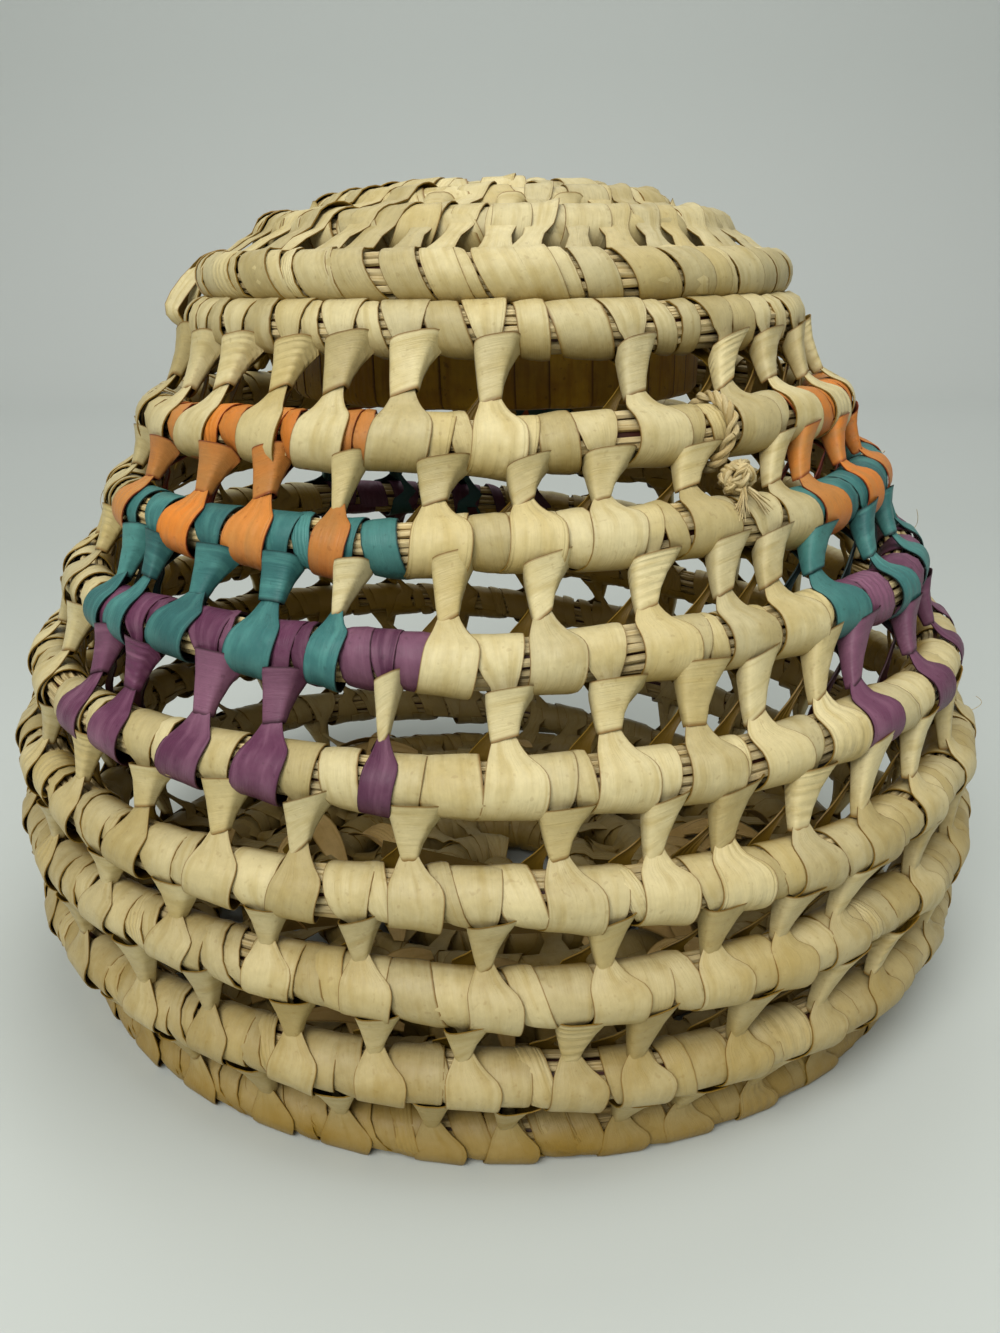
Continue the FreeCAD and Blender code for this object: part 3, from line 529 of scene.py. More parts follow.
# Rows of a stitch's two loops. Each gives the coil or the stretch that the row lies on, its lean or
# its share of the way up, its distance out, the strip's left and right edges, and how far its right
# edge stands off, or its left one where the number is negative.
LOWER_LOOP = [
    ("rise", 0.66, -2.6, -2.2, 2.2, 0.0),
    ("rise", 0.42, -2.2, -2.4, 2.4, 0.0),
    ("rise", 0.26, -1.4, -3.1, 3.3, 0.0),
    ("rise", 0.10, 0.0, -3.6, 5.0, 0.1),
    ("lower", 34, 7.45, -3.8, 7.0, 0.2),
    ("lower", 14, 7.7, -3.9, 8.6, 0.3),
    ("lower", -8, 7.75, -4.0, 9.2, 0.45),
    ("lower", -30, 7.75, -4.2, 9.1, 0.65),
    ("lower", -52, 7.7, -4.7, 8.5, 0.95),
    ("lower", -76, 7.5, -5.7, 7.4, 1.15),
    ("lower", -104, 7.2, -7.6, 5.6, 1.0),
    ("lower", -132, 6.9, -9.2, 3.6, 0.6),
    ("lower", -160, 6.9, -10.0, 1.5, 0.3),
    ("lower", -188, 6.9, -10.3, -0.6, 0.2),
    ("lower", -212, 6.9, -10.0, -2.2, 0.2),
    ("back", 0.12, 0.0, -9.0, -3.0, 0.0),
    ("back", 0.30, 1.6, -6.4, -2.2, 0.0),
    ("back", 0.48, 2.9, -3.2, 0.6, 0.0),
    ("rise", 0.66, -4.2, -2.0, 2.0, 0.0),
]
UPPER_LOOP = [
    ("rise", 0.50, -4.4, -2.0, 2.0, 0.0),
    ("back", 0.80, 1.6, -3.2, 2.4, 0.0),
    ("upper", -142, 6.8, -5.2, 2.6, 0.0),
    ("upper", -168, 6.8, -7.0, 3.0, 0.0),
    ("upper", -196, 6.8, -8.4, 3.4, 0.0),
    ("upper", -224, 6.8, -9.2, 3.9, 0.0),
    ("upper", -252, 6.8, -9.6, 4.3, 0.2),
    ("upper", -280, 6.85, -9.5, 4.7, 0.3),
    ("upper", -306, 6.9, -9.0, 4.8, 0.35),
    ("upper", -330, 6.9, -8.2, 4.7, 0.35),
    ("upper", -352, 6.9, -7.1, 4.4, 0.3),
    ("upper", -374, 6.9, -5.8, 3.9, 0.2),
    ("upper", -396, 6.9, -4.5, 3.3, 0.0),
    ("rise", 0.93, 0.0, -3.4, 2.9, 0.0),
    ("rise", 0.74, -1.7, -2.6, 2.4, 0.0),
    ("rise", 0.52, -2.5, -2.2, 2.1, 0.0),
]
BRIDGE = [
    ("upper", 150, 7.1, 6.4, 13.4, 0.0),
    ("upper", 112, 7.3, 4.4, 14.2, 0.0),
    ("upper", 78, 7.5, 2.2, 14.2, 0.3),
    ("upper", 44, 7.6, -0.2, 13.4, 0.7),
    ("upper", 16, 7.6, -2.0, 11.8, 1.0),
    ("upper", -12, 7.5, -3.2, 9.6, 1.0),
    ("upper", -40, 7.3, -4.0, 7.2, 0.7),
    ("rise", 0.5, 1.1, -4.6, 4.6, 0.3),
    ("lower", 40, 7.0, -6.6, 3.4, 0.3),
    ("lower", 12, 7.1, -7.6, 3.9, 0.5),
    ("lower", -16, 7.15, -6.8, 5.8, 0.5),
    ("lower", -44, 7.15, -5.0, 7.9, 0.5),
    ("lower", -76, 7.0, -2.8, 10.2, 0.4),
    ("lower", -110, 6.9, -0.6, 12.2, 0.2),
    ("lower", -150, 6.8, 1.6, 13.8, 0.0),
]
LOOP_SHARES = np.array([0.0, 0.09, 0.5, 0.91, 1.0])


def blunt(values, power):
    """Values between -1 and 1 raised to a power, with their signs kept."""
    return np.sign(values) * np.abs(values) ** power


class Gap:
    """The room between two neighbouring turns, with its stitches' azimuths and their measures."""

    def __init__(self, lower, upper, azimuths, width=1.0, seed=0, pinch=0.3):
        self.lower = lower
        self.upper = upper
        self.azimuths = np.asarray(azimuths, float)
        self.chance = np.random.default_rng(seed)
        count = len(self.azimuths)
        radius, height = np.array(upper(self.azimuths)) - lower(self.azimuths)
        self.slope = np.degrees(np.arctan2(height, radius))
        self.face = self.slope - 90
        self.width = width * self.chance.uniform(0.93, 1.06, count)
        self.shift = self.chance.normal(0, 0.45, count)
        self.turned = self.chance.normal(0, 0.6, count)
        self.tone = self.chance.uniform(0, 1, count)
        self.loose = self.chance.uniform(0.2, 1.5, count)
        self.lean = self.chance.normal(0, 0.7, count)
        self.pinch = np.clip(pinch + self.chance.normal(0, 0.17, count), 0, 1)
        self.fine = True

    def unsettle(self, amount):
        """Makes the stitches less alike: their places, widths, slants and slack."""
        count = len(self.azimuths)
        self.shift += self.chance.normal(0, amount, count)
        self.width *= self.chance.uniform(0.82, 1.14, count)
        self.lean += self.chance.normal(0, 1.2 * amount, count)
        self.turned += self.chance.normal(0.5 * amount, amount, count)
        self.loose *= self.chance.uniform(0.3, 1.5, count)

    def only(self, chosen):
        """The same gap with a part of its stitches."""
        part = copy.copy(self)
        for label, values in vars(self).items():
            if isinstance(values, np.ndarray):
                setattr(part, label, values[chosen])
        return part

    def stretch(self, azimuth, side):
        """Ends of the stretch between the two coils on its outer side, or on its back at -1."""
        face = self.face[:, None]
        lean = 90 - 45 * side
        return (on_coil(self.lower, azimuth, face + lean, COIL_RADIUS),
                on_coil(self.upper, azimuth, face - lean, COIL_RADIUS))

    def row(self, kind, spot, away, left, right, lift, shares):
        """One row of a loop: points at shares of the way from its left to its right edge."""
        pinch, lean, turned = self.pinch[:, None], self.lean[:, None], self.turned[:, None]
        offsets = (left + (right - left) * shares) * self.width[:, None] + self.shift[:, None]
        if kind in ("rise", "back"):
            offsets = offsets * (1 + max(-0.35, 0.3 - 1.6 * spot) * pinch) + turned * (spot - 0.5)
        elif kind == "lower":
            offsets = offsets * (1 + 0.28 * math.exp(-((spot - 40) / 38) ** 2) * pinch)
            offsets = offsets + (lean + pinch) * math.sin(math.radians(spot - 40)) - turned * LEANING_SHARE
        elif kind == "upper":
            offsets = offsets + turned * LEANING_SHARE
        azimuth = self.azimuths[:, None] + np.degrees(offsets / self.lower(self.azimuths)[0][:, None])
        face = self.face[:, None]
        away = away + abs(lift) * self.loose[:, None] * (shares if lift > 0 else 1 - shares) ** 2
        if kind in ("lower", "upper"):
            return on_coil(self.lower if kind == "lower" else self.upper, azimuth, face + spot, away)
        side = 1 if kind == "rise" else -1
        low, high = self.stretch(azimuth, side)
        bow = 0.5 * (1 - (2 * shares - 1) ** 2) * side
        return low + (high - low) * spot + leaning(azimuth, face) * (away + bow)[..., None]

    def loop(self, rows):
        """Strips of one loop of every stitch, row after row along the strip."""
        grid = np.stack([self.row(*row, LOOP_SHARES) for row in rows], 1)
        grid = smoothed(grid) if self.fine else grid
        grid[..., 2] = np.maximum(grid[..., 2], FLOOR_GAP)
        return strip_shells(grid, LOOP_THICKNESS, self.tone)

    def loops(self, material):
        """Both loops of every stitch."""
        return [(self.loop(LOWER_LOOP), material), (self.loop(UPPER_LOOP), material)]

    def collar(self):
        """The strip wound round each stitch's waist, once and a little more.

        Its section is a flattened ring, wider towards the top. The left side stands upright and the
        right one sweeps out. The front of the top edge stands a little off the coil above. Pinched
        collars are narrow at the bottom and straight-sided.
        """
        count = len(self.azimuths)
        angle = np.radians(np.linspace(-105, 280, 24))[None, :, None]
        level = np.array([1.0, 0.86, 0.62, 0.3, 0.0])[None, None, :]
        low, high = (ends[:, :, None] for ends in self.stretch(self.azimuths[:, None], 1))
        out = leaning(self.azimuths, self.face)[:, None, None]
        side = sideways(self.azimuths)[:, None, None]
        width, pinch, shift, turned = (values[:, None, None] for values in
                                       (self.width, self.pinch, self.shift, self.turned))
        tall = self.chance.uniform(-0.05, 0.05, (count, 1, 1))
        sweep = self.chance.uniform(0.75, 1.2, (count, 1, 1))
        skew = self.chance.normal(0.0, 0.035, (count, 1, 1))
        high_edge = self.chance.uniform(-0.03, 0.09, (count, 1, 1))
        waist = 3.4 * (1 - 0.55 * pinch)
        right = (waist + (7.4 * sweep * (1 + 0.3 * pinch) - waist) * level ** (2.3 - 1.2 * pinch)) * width
        left = -(waist + (0.8 + 3.2 * pinch) * level) * width
        along = blunt(np.cos(angle), 0.65)
        forth = blunt(np.sin(angle), 0.5)
        front = np.clip(1.6 * forth + 0.9, 0, 1)
        depth = 1.6 + 0.9 * level + 2.1 * level ** 3 * np.maximum(forth, 0) + (angle - angle.min()) * 0.06
        x = (right + left) / 2 + (right - left) / 2 * along + shift
        y = -2.5 + depth * forth + 0.7 * level ** 3 * front
        bottom = 0.30 - 0.22 * pinch ** 2 + tall + (0.05 + skew) * along
        top = 0.80 + 0.13 * front + 0.12 * pinch + high_edge + (0.05 + skew) * along
        spot = bottom + (top - bottom) * level
        x = x + turned * (spot - 0.5)
        grid = low + (high - low) * spot[..., None] + out * y[..., None] + side * x[..., None]
        out_of = out * np.sin(angle)[..., None] + side * np.cos(angle)[..., None]
        tone = self.chance.uniform(0, 1, count)
        return strip_shells(grid, STRIP_THICKNESS, tone, np.broadcast_to(out_of, grid.shape))


def smoothed(grid):
    """Twice as many rows: each new one is nine sixteenths of its two neighbours less a sixteenth of
    the next two, which keeps the curve through the given rows."""
    padded = np.concatenate([2 * grid[:, :1] - grid[:, 1:2], grid, 2 * grid[:, -1:] - grid[:, -2:-1]], 1)
    made = np.empty((grid.shape[0], 2 * grid.shape[1] - 1) + grid.shape[2:])
    made[:, ::2] = grid
    made[:, 1::2] = (9 * (padded[:, 1:-2] + padded[:, 2:-1]) - padded[:, :-3] - padded[:, 3:]) / 16
    return made


def wrap_shells(place, azimuths, widths, slants, tone, reach=WRAP_REACH, press=None):
    """Strips wound once round a coil like a screw thread, at a reach from its middle.

    Each goes round from the back over the top and the front, and moves along by its slant. One
    edge lies higher, over the strip beside it. Where a press lean is given, the coil is flattened
    there against what it rests on, and slimmer where the lid's rim rolls in the hinge loop.
    """
    lean = np.linspace(205, -165, 15)[None, :, None]
    share = np.array([-0.5, -0.24, 0.24, 0.5])[None, None]
    azimuths, widths, slants = (values[:, None, None] for values in (azimuths, widths, slants))
    offset = slants * (20 - lean) / 360 + share * widths
    azimuth = azimuths + np.degrees(offset / place(azimuths)[0])
    lift = chance.uniform(-0.15, 0.15, len(azimuths))[:, None, None]
    loose = chance.uniform(0.2, 0.5, len(azimuths))[:, None, None]
    away = reach + lift + loose * (0.5 + share) ** 1.5 * 2.2 + 0.34 * (1 - 4 * share ** 2)
    away = away + 0.25 * np.sin(np.radians(3 * lean) + azimuths)
    if press is not None:
        near = np.cos(np.radians(lean - press))
        away = np.where(near > 0.5, np.minimum(away, 6.15 / np.maximum(near, 0.5)), away)
        from_hinge = np.abs(azimuth - HINGE_AZIMUTH)
        away = np.minimum(away, 6.2 + 1.5 * np.clip(from_hinge / 12 - 0.8, 0, 1))
    grid = on_coil(place, azimuth, lean, away)
    grid[..., 2] = np.maximum(grid[..., 2], FLOOR_GAP)
    normal = leaning(azimuth, np.broadcast_to(lean, azimuth.shape))
    return strip_shells(grid, STRIP_THICKNESS, tone, normal)


def core_layers(place, start, end):
    """A dark core of painted shade inside a coil, which shows between the stems, and the straw stems
    round it, which twist slowly along it.
    """
    azimuth = np.linspace(start, end, max(int((end - start) / 6), 3))[None]
    dark = tube_shells(on_coil(place, azimuth, 0.0, 0.0), CORE_SHADE_RADIUS, 8, np.array([0.5]), UP)
    azimuth = np.linspace(start, end, max(int((end - start) / 5), 3))[None]
    lean = (np.arange(STEMS) * 360 / STEMS + chance.normal(0, 4, STEMS))[:, None] + azimuth * 0.35
    lean = lean + 5 * np.sin(np.radians(azimuth * 9 + chance.uniform(0, 360, STEMS)[:, None]))
    away = STEM_REACH + 0.35 * np.sin(np.radians(azimuth * 7 + lean * 3))
    tone = chance.uniform(0, 1, STEMS)
    thick = chance.uniform(0.85, 1.15, STEMS)[:, None]
    stems = tube_shells(on_coil(place, azimuth, lean, away), thick, 6, tone, leaning(azimuth, lean))
    return [(dark, core_shade), (stems, straw)]


def free_stretches(covers, start, end):
    """What is left between start and end once covers, pairs of azimuths, are taken away."""
    left = []
    at = start
    for low, high in sorted(covers) + [(end, end)]:
        if min(low, end) > at:
            left.append((at, min(low, end)))
        at = max(at, high)
    return left


def wraps_between(place, covers, start, end, open_share, pitch, lap=2.2):
    """Azimuths and widths of the wraps that fill the stretches between covers. Some stretches, or
    the end of one, stay open and show the stems."""
    azimuths = []
    widths = []
    for low, high in free_stretches(covers, start, end):
        radius = float(place(np.array((low + high) / 2))[0])
        length = math.radians(high - low) * radius
        count = round(length / pitch + 0.15)
        if count == 0 and chance.random() < 1 - open_share and length > 2:
            count = 1
        for number in range(count):
            if chance.random() < open_share * 0.2:
                continue
            azimuths.append(low + (high - low) * (number + 0.5) / count)
            wide = length / count + (lap if chance.random() > open_share else -chance.uniform(1.5, 4.5))
            widths.append(max(wide, NARROWEST_WRAP))
    return np.array(azimuths), np.array(widths)


def covers_round(azimuths, left, right, radius):
    """Pairs of azimuths, so far to the left and to the right of given ones."""
    return list(zip(azimuths - np.degrees(left / radius), azimuths + np.degrees(right / radius)))


def wrap_covers(gap_below, gap_above, place):
    """Where stitches already cover a turn: the flares of the gap above, the bands of the one below."""
    covers = []
    for gap, left, right, way in ((gap_above, 5.0, 8.6, -1), (gap_below, 7.6, 4.2, 1)):
        if gap is not None:
            moved = gap.turned * LEANING_SHARE * way
            covers += covers_round(gap.azimuths, left * gap.width - moved, right * gap.width + moved,
                                   place(gap.azimuths)[0])
    return covers


def wall_gap(number):
    """The stitches of one wall gap with the azimuths that the CAD nodes have."""
    label = DYED_GAPS.get(number)
    plain = azimuth_of(solids_of("stitches_%d" % (number + 1), STITCH_TRIANGLES))
    dyed = azimuth_of(solids_of(label, STITCH_TRIANGLES)) if label else np.array([])
    gap = Gap(wall_place(number), wall_place(number + 1), np.concatenate([plain, dyed]), seed=500 + number,
              pinch=PINCH_SHARES[number])
    radius = gap.lower(gap.azimuths)[0]
    room = np.abs(gap.azimuths[:, None] - gap.azimuths[None]) + 360 * np.eye(len(gap.azimuths))
    gap.width = np.minimum(gap.width * (1 - 0.14 * gap.pinch), np.radians(room.min(1)) * radius / 14.6)
    gap.dyed = np.arange(len(gap.azimuths)) >= len(plain)
    gap.label = label
    gap.last = np.zeros(len(gap.azimuths), bool)
    if label:
        patch = np.flatnonzero(gap.dyed & (np.abs(gap.azimuths + 35) < 30))
        gap.last[patch[np.argmax(gap.azimuths[patch])]] = True
        gap.width[gap.last] *= 0.62
        gap.pinch[gap.last] = 0.7
    gap.lean += 3.0 * np.clip(-gap.azimuths / 40, 0, 1) - 1.5 * np.clip(gap.azimuths / 40, 0, 1)
    gap.turned += 8.0 * np.clip((gap.azimuths - 5) / 35, 0, 1) * np.clip((110 - gap.azimuths) / 50, 0, 1)
    return gap


def lace_pieces(gap, number):
    """Natural and dyed stitches of one wall gap. The last collar of the front patch is natural."""
    undyed = gap.only(~gap.dyed)
    layers = undyed.loops(natural) + [(undyed.collar(), natural)]
    if gap.label:
        dyed = gap.only(gap.dyed)
        dye = DYES[gap.label]
        made = dyed.loops(dye) + [(dyed.only(~dyed.last).collar(), dye)]
        make_piece("laced_" + gap.label, "basket", [gap.label], made)
        layers.append((dyed.only(dyed.last).collar(), natural))
    name = "stitches_%d" % (number + 1)
    make_piece("laced_" + name, "basket", [name], layers)


def wall_pieces():
    """The wall: each turn's dark core of painted shade, stems and wraps, and each gap's stitches."""
    gaps = [wall_gap(number) for number in range(NECK)]
    for turn, (below, above) in enumerate(zip([None] + gaps, gaps + [None])):
        place = wall_place(turn)
        end = 172 if turn == NECK else 180
        pitch, least, most = (6.8, 7, 18) if turn < 4 else (9.5, 4, 14)
        covers = wrap_covers(below, above, place)
        azimuths, widths = wraps_between(place, covers, -180, end, OPEN_SHARES[turn], pitch)
        slants = chance.uniform(least, most, len(azimuths))
        tone = chance.uniform(0, 1, len(azimuths))
        press = 180 - rim_lean if turn == NECK else None
        layers = core_layers(place, -180, end)
        dyed = np.zeros(len(azimuths), bool)
        if below is not None and below.label:
            dyed = np.abs(azimuths[:, None] - below.azimuths[below.dyed][None]).min(1) < 6.5
        for chosen in (dyed, ~dyed):
            if chosen.any():
                material = DYES[below.label] if chosen is dyed else natural
                shells = wrap_shells(place, azimuths[chosen], widths[chosen], slants[chosen], tone[chosen],
                                     press=press)
                layers.append((shells, material))
        if turn == NECK:
            layers.append((tip_shells(place, end, 1), natural))
        make_piece("wrapped_" + TURN_NAMES[turn], "basket", [TURN_NAMES[turn]], layers)
    for number, gap in enumerate(gaps):
        lace_pieces(gap, number)


def between_too(azimuths):
    """The given azimuths and the ones halfway between neighbours."""
    around = np.sort(azimuths)
    after = np.append(around[1:], around[0] + 360)
    return np.concatenate([around, (around + after) / 2])


def tip_shells(place, end, way):
    """The wrapped end of a coil: three short overlapping bands round it, each narrower than the one
    before, and the last closed to a point."""
    radius = float(place(np.array(float(end)))[0])
    along = np.linspace(0, 1, 9)
    shells = []
    for start, length, first, last in ((-3.0, 5.5, 7.2, 6.6), (1.0, 5.0, 6.9, 5.0), (4.0, 5.5, 5.6, 0.3)):
        azimuth = (end + way * np.degrees((start + length * along) / radius))[None]
        paths = on_coil(place, azimuth, 0.0, 0.0)
        thick = (first + (last - first) * along ** 2)[None]
        shells.append(tube_shells(paths, thick, 18, chance.uniform(0, 1, 1), UP))
    return joined(shells)


def knots_by_turn(node, places):
    """Azimuths of a node's knots, sorted by the pair of neighbouring turns that they tie."""
    middles = solids_of(node, KNOT_TRIANGLES)
    azimuths = azimuth_of(middles)
    radii = np.hypot(middles[:, 0], middles[:, 1])
    between = [(outer(azimuths)[0] + inner(azimuths)[0]) / 2 for outer, inner in zip(places, places[1:])]
    nearest = np.argmin(np.abs(radii - between), 0)
    return [azimuths[nearest == number] for number in range(len(places) - 1)]


def lid_pieces():
    """The lid: rim, domed winding, the ties between the turns and the curl of the coil's start into the eye.
    """
    places = [lid_place(turn) for turn in range(LID_TURNS + 1)]
    groups = knots_by_turn("lid_knots", places)
    for number in range(2):
        azimuths = between_too(groups[number])
        groups[number] = azimuths[np.abs(azimuths - HINGE_AZIMUTH + 3) > HINGE_ROOM]
    gaps = [Gap(outer, inner, azimuths, 0.8, 700 + number)
            for number, (outer, inner, azimuths) in enumerate(zip(places, places[1:], groups))]
    for gap in gaps[:2]:
        gap.unsettle(1.5)
    make_piece("laced_lid_knots", "lid", ["lid_knots"], flat_lacing(gaps))
    for turn, place in enumerate(places):
        rim = turn == 0
        start = -172 if rim else -180
        end = LID_END_AZIMUTH if turn == LID_TURNS else 180
        covers = covers_round(gaps[0].azimuths, 5.6, 3.2, front_radius(place)) if rim else []
        open_share, lap = (0.35, 0.6) if rim else (0.05, 2.2)
        azimuths, widths = wraps_between(place, covers, start, end, open_share, 11.0, lap)
        slants = chance.uniform(14, 20, len(azimuths))
        wraps = wrap_shells(place, azimuths, widths, slants, chance.uniform(0, 1, len(azimuths)),
                            press=-rim_lean if rim else None)
        layers = core_layers(place, start, end) + [(wraps, natural)]
        if rim:
            layers.append((tip_shells(place, start, -1), natural))
        if turn == LID_TURNS:
            around = np.linspace(0.0, 1.0, 9)
            thinner = (WRAP_REACH - 2.6 * around)[:, None, None]
            curl = wrap_shells(eye_place(place), LID_END_AZIMUTH + EYE_SWEEP * around, 6.0 - 1.5 * around,
                               np.full(9, 5.0), chance.uniform(0, 1, 9), thinner)
            layers.append((curl, natural))
        name = "wrapped_lid_rim" if rim else "wrapped_lid_turn_%d" % turn
        make_piece(name, "lid", {0: ["lid_rim"], 1: ["lid_coil"]}.get(turn, []), layers)


def flat_lacing(gaps):
    """Strips that tie flat turns side by side: oblique ones over both turns, and some pulled up
    in loops with a collar."""
    layers = []
    for gap in gaps:
        pulled = gap.chance.random(len(gap.azimuths)) < 0.35
        if gap is gaps[0]:
            pulled[:] = False
        layers.append((gap.only(~pulled).loop(BRIDGE), natural))
        if pulled.any():
            part = gap.only(pulled)
            layers += part.loops(natural) + [(part.collar(), natural)]
    return layers


def base_pieces():
    """The base: its flat winding and the ties between its turns."""
    places = [base_place(ring) for ring in range(BASE_TURNS + 1)]
    groups = knots_by_turn("base_knots", places[::-1])[::-1]
    gaps = [Gap(outer, inner, between_too(azimuths), 0.8, 800 + number)
            for number, (inner, outer, azimuths) in enumerate(zip(places, places[1:], groups))]
    for gap in gaps:
        gap.unsettle(2.0)
        gap.fine = False
    make_piece("laced_base_knots", "basket", ["base_knots"], flat_lacing(gaps[::-1]))
    layers = []
    for place in places[:-1]:
        count = round(2 * math.pi * front_radius(place) / BASE_WRAP_PITCH)
        azimuths = -180 + 360 * (np.arange(count) + 0.5) / count
        widths = chance.uniform(11, 15, count)
        slants = chance.uniform(9, 14, count)
        wraps = wrap_shells(place, azimuths, widths, slants, chance.uniform(0, 1, count), BASE_WRAP_REACH)
        layers += core_layers(place, -180, 180) + [(wraps, natural)]
    make_piece("wrapped_base_coil", "basket", ["base_coil"], layers)


def button_piece(name, body, node):
    """The eye of a spiral: five strips bent in short loops over a small round pad."""
    low, high = box_of(node)
    middle = (low + high) / 2
    radius, tall = (high - low)[[0, 2]] / 2
    number = np.arange(5)[:, None, None]
    turned = np.radians(number * 36)
    along = np.linspace(-np.pi / 2 - 0.9, np.pi / 2 + 0.9, 15)[None, :, None]
    across = np.array([-3.0, 0.0, 3.0])[None, None]
    x, y, z = np.broadcast_arrays(np.sin(along) * (radius - 0.6), across,
                                  np.cos(along) * (tall - 0.6 + 0.075 * number))
    grid = np.stack([x * np.cos(turned) - y * np.sin(turned), x * np.sin(turned) + y * np.cos(turned), z], -1)
    shells = strip_shells(grid + middle, STRIP_THICKNESS, chance.uniform(0, 1, 5))
    upright = np.linspace(-1, 1, 9)[None]
    path = middle + upright[..., None] * np.array([0, 0, tall - 0.6])
    thick = (radius - 0.7) * np.sqrt(1 - 0.55 * upright ** 4)
    pad = tube_shells(path, thick, 20, np.array([0.5]), np.array([1.0, 0, 0]))
    make_piece(name, body, [node], [(shells, natural), (pad, natural)])


def flange_piece():
    """The band that hangs from the lid: upright strips, each bent over the ring's lower edge."""
    low, high = box_of("lid_flange")
    outer, top, bottom = high[0], high[2], low[2] - 3.0
    inner = outer - FLANGE_WALL
    half = [(0.1, top - 0.2), (0.0, top - 6), (0.0, (bottom + top) / 2), (0.0, bottom + 6),
            (0.2, bottom + 2.0), (1.4, bottom + 0.5)]
    rows = [(outer - inset, height) for inset, height in half] + [((outer + inner) / 2, bottom + 0.1)]
    rows = np.array(rows + [(inner + inset, height) for inset, height in half[::-1]])[None, :, None]
    share = np.array([-0.5, 0.0, 0.5])[None, None]
    azimuth = np.arange(FLANGE_STRIPS) * 360 / FLANGE_STRIPS + chance.normal(0, 0.8, FLANGE_STRIPS)
    twist = np.linspace(-1.2, 1.2, rows.shape[1])[None, :, None]
    azimuth = azimuth[:, None, None] + np.degrees(FLANGE_STRIP_WIDTH / outer) * share + twist
    side = np.sign(rows[..., 0] - (outer + inner) / 2)
    grid = outward(azimuth) * (rows[..., 0] + side * (0.3 * share + 0.12))[..., None]
    grid[..., 2] = rows[..., 1]
    shells = strip_shells(grid, STRIP_THICKNESS, chance.uniform(0, 1, FLANGE_STRIPS))
    # Its colour is painted shade under the lid.
    make_piece("wrapped_lid_flange", "lid", ["lid_flange"], [(shells, shaded_flange)])


def tack_piece():
    """Strips that tack the flange to the turn above it, each bent over the flange's upper edge."""
    middles = solids_of("flange_tacks", KNOT_TRIANGLES)
    low, high = box_of("flange_tacks")
    reach = np.hypot(middles[:, 0], middles[:, 1])[:, None, None]
    spot = np.linspace(0, 1, 7)[None, :, None]
    share = np.array([-0.5, 0.0, 0.5])[None, None]
    azimuth = azimuth_of(middles)[:, None, None] + np.degrees(TACK_WIDTH * share * (1 - 0.25 * spot) / reach)
    grid = outward(azimuth) * (reach + 0.55 + 0.25 * np.sin(math.pi * spot) - 0.3 * spot)[..., None]
    grid[..., 2] = high[2] + (low[2] - high[2]) * spot
    shells = strip_shells(grid, STRIP_THICKNESS, chance.uniform(0, 1, len(middles)))
    make_piece("laced_flange_tacks", "lid", ["flange_tacks"], [(shells, natural)])


def hinge_piece():
    """The palm loop at the left that holds the lid's rim to the neck: strips that cross one another,
    each on an oval round both coils, bowed out between them, and moving along them as it goes."""
    neck_radius = BELLY_RADIUS * TURN_RADIUS_SHARES[NECK] * math.cos(math.pi / 30)
    spot = np.linspace(math.pi - 0.3, 3 * math.pi - 0.1, 44)
    straight = rim_offset / 2
    lean = math.radians(rim_lean)
    layers = []
    for shift, slope, rise, away, wide, turn, bow in (
            (-3.4, 0.42, 0.14, 7.1, 3.6, 0.5, 2.6), (2.8, -0.38, -0.16, 7.5, 3.0, -0.9, 3.8),
            (-0.4, 0.3, -0.4, 7.7, 2.4, 1.2, 5.0), (1.2, -0.1, 0.2, 7.0, 4.4, 0.3, 0.6)):
        x = away * np.cos(spot) + bow * np.exp(-((spot - 2 * math.pi + 0.3) / 0.5) ** 2)
        y = away * np.sin(spot) + straight * (1 + np.tanh(4 * np.sin(spot)))
        radius = neck_radius - y * math.cos(lean) + x * math.sin(lean)
        slide = shift + slope * x + rise * (y - straight)
        path = outward(np.array(HINGE_AZIMUTH)) * radius[:, None]
        path[:, 2] = NECK_HEIGHT + y * math.sin(lean) + x * math.cos(lean)
        path = path + sideways(np.array(HINGE_AZIMUTH)) * slide[:, None]
        along = unit(np.gradient(path, axis=0))
        out_of = square_to(path - path.mean(0), along)
        across = np.cross(out_of, along)
        twist = (turn * np.exp(-((spot - 2 * math.pi + 0.05) / 0.5) ** 2))[:, None]
        across, out_of = (across * np.cos(twist) + out_of * np.sin(twist),
                          out_of * np.cos(twist) - across * np.sin(twist))
        grid = path[:, None] + across[:, None] * (np.linspace(-1, 1, 5) * wide)[:, None]
        normal = np.broadcast_to(out_of[:, None], grid.shape)
        shells = strip_shells(grid[None], STRIP_THICKNESS, chance.uniform(0, 1, 1), normal[None])
        layers.append((shells, natural))
    make_piece("palm_hinge_loop", "basket", ["hinge_loop"], layers)


def cord_shells(path, up, twist, strand=0.85):
    """Strands twisted round one another along a path: helices about it, each a round tube."""
    along = unit(np.gradient(path, axis=0))
    first = square_to(up, along)
    second = np.cross(along, first)
    turned = np.linspace(0, twist, len(path))[None] * 2 * np.pi + (np.arange(3) * 2 * np.pi / 3)[:, None]
    wave = np.linspace(0, 2 * np.pi, len(path)) + chance.uniform(0, 6, 3)[:, None]
    turned = turned + 0.5 * np.sin(3 * wave)
    reach = strand * (1 + 0.22 * np.sin(5 * wave))[..., None]
    strands = path + (first * np.cos(turned)[..., None] + second * np.sin(turned)[..., None]) * reach
    thick = strand * (0.95 + 0.2 * np.sin(4 * wave + 2))
    return tube_shells(strands, thick, 6, np.array([0.16, 0.4, 0.64]), first)


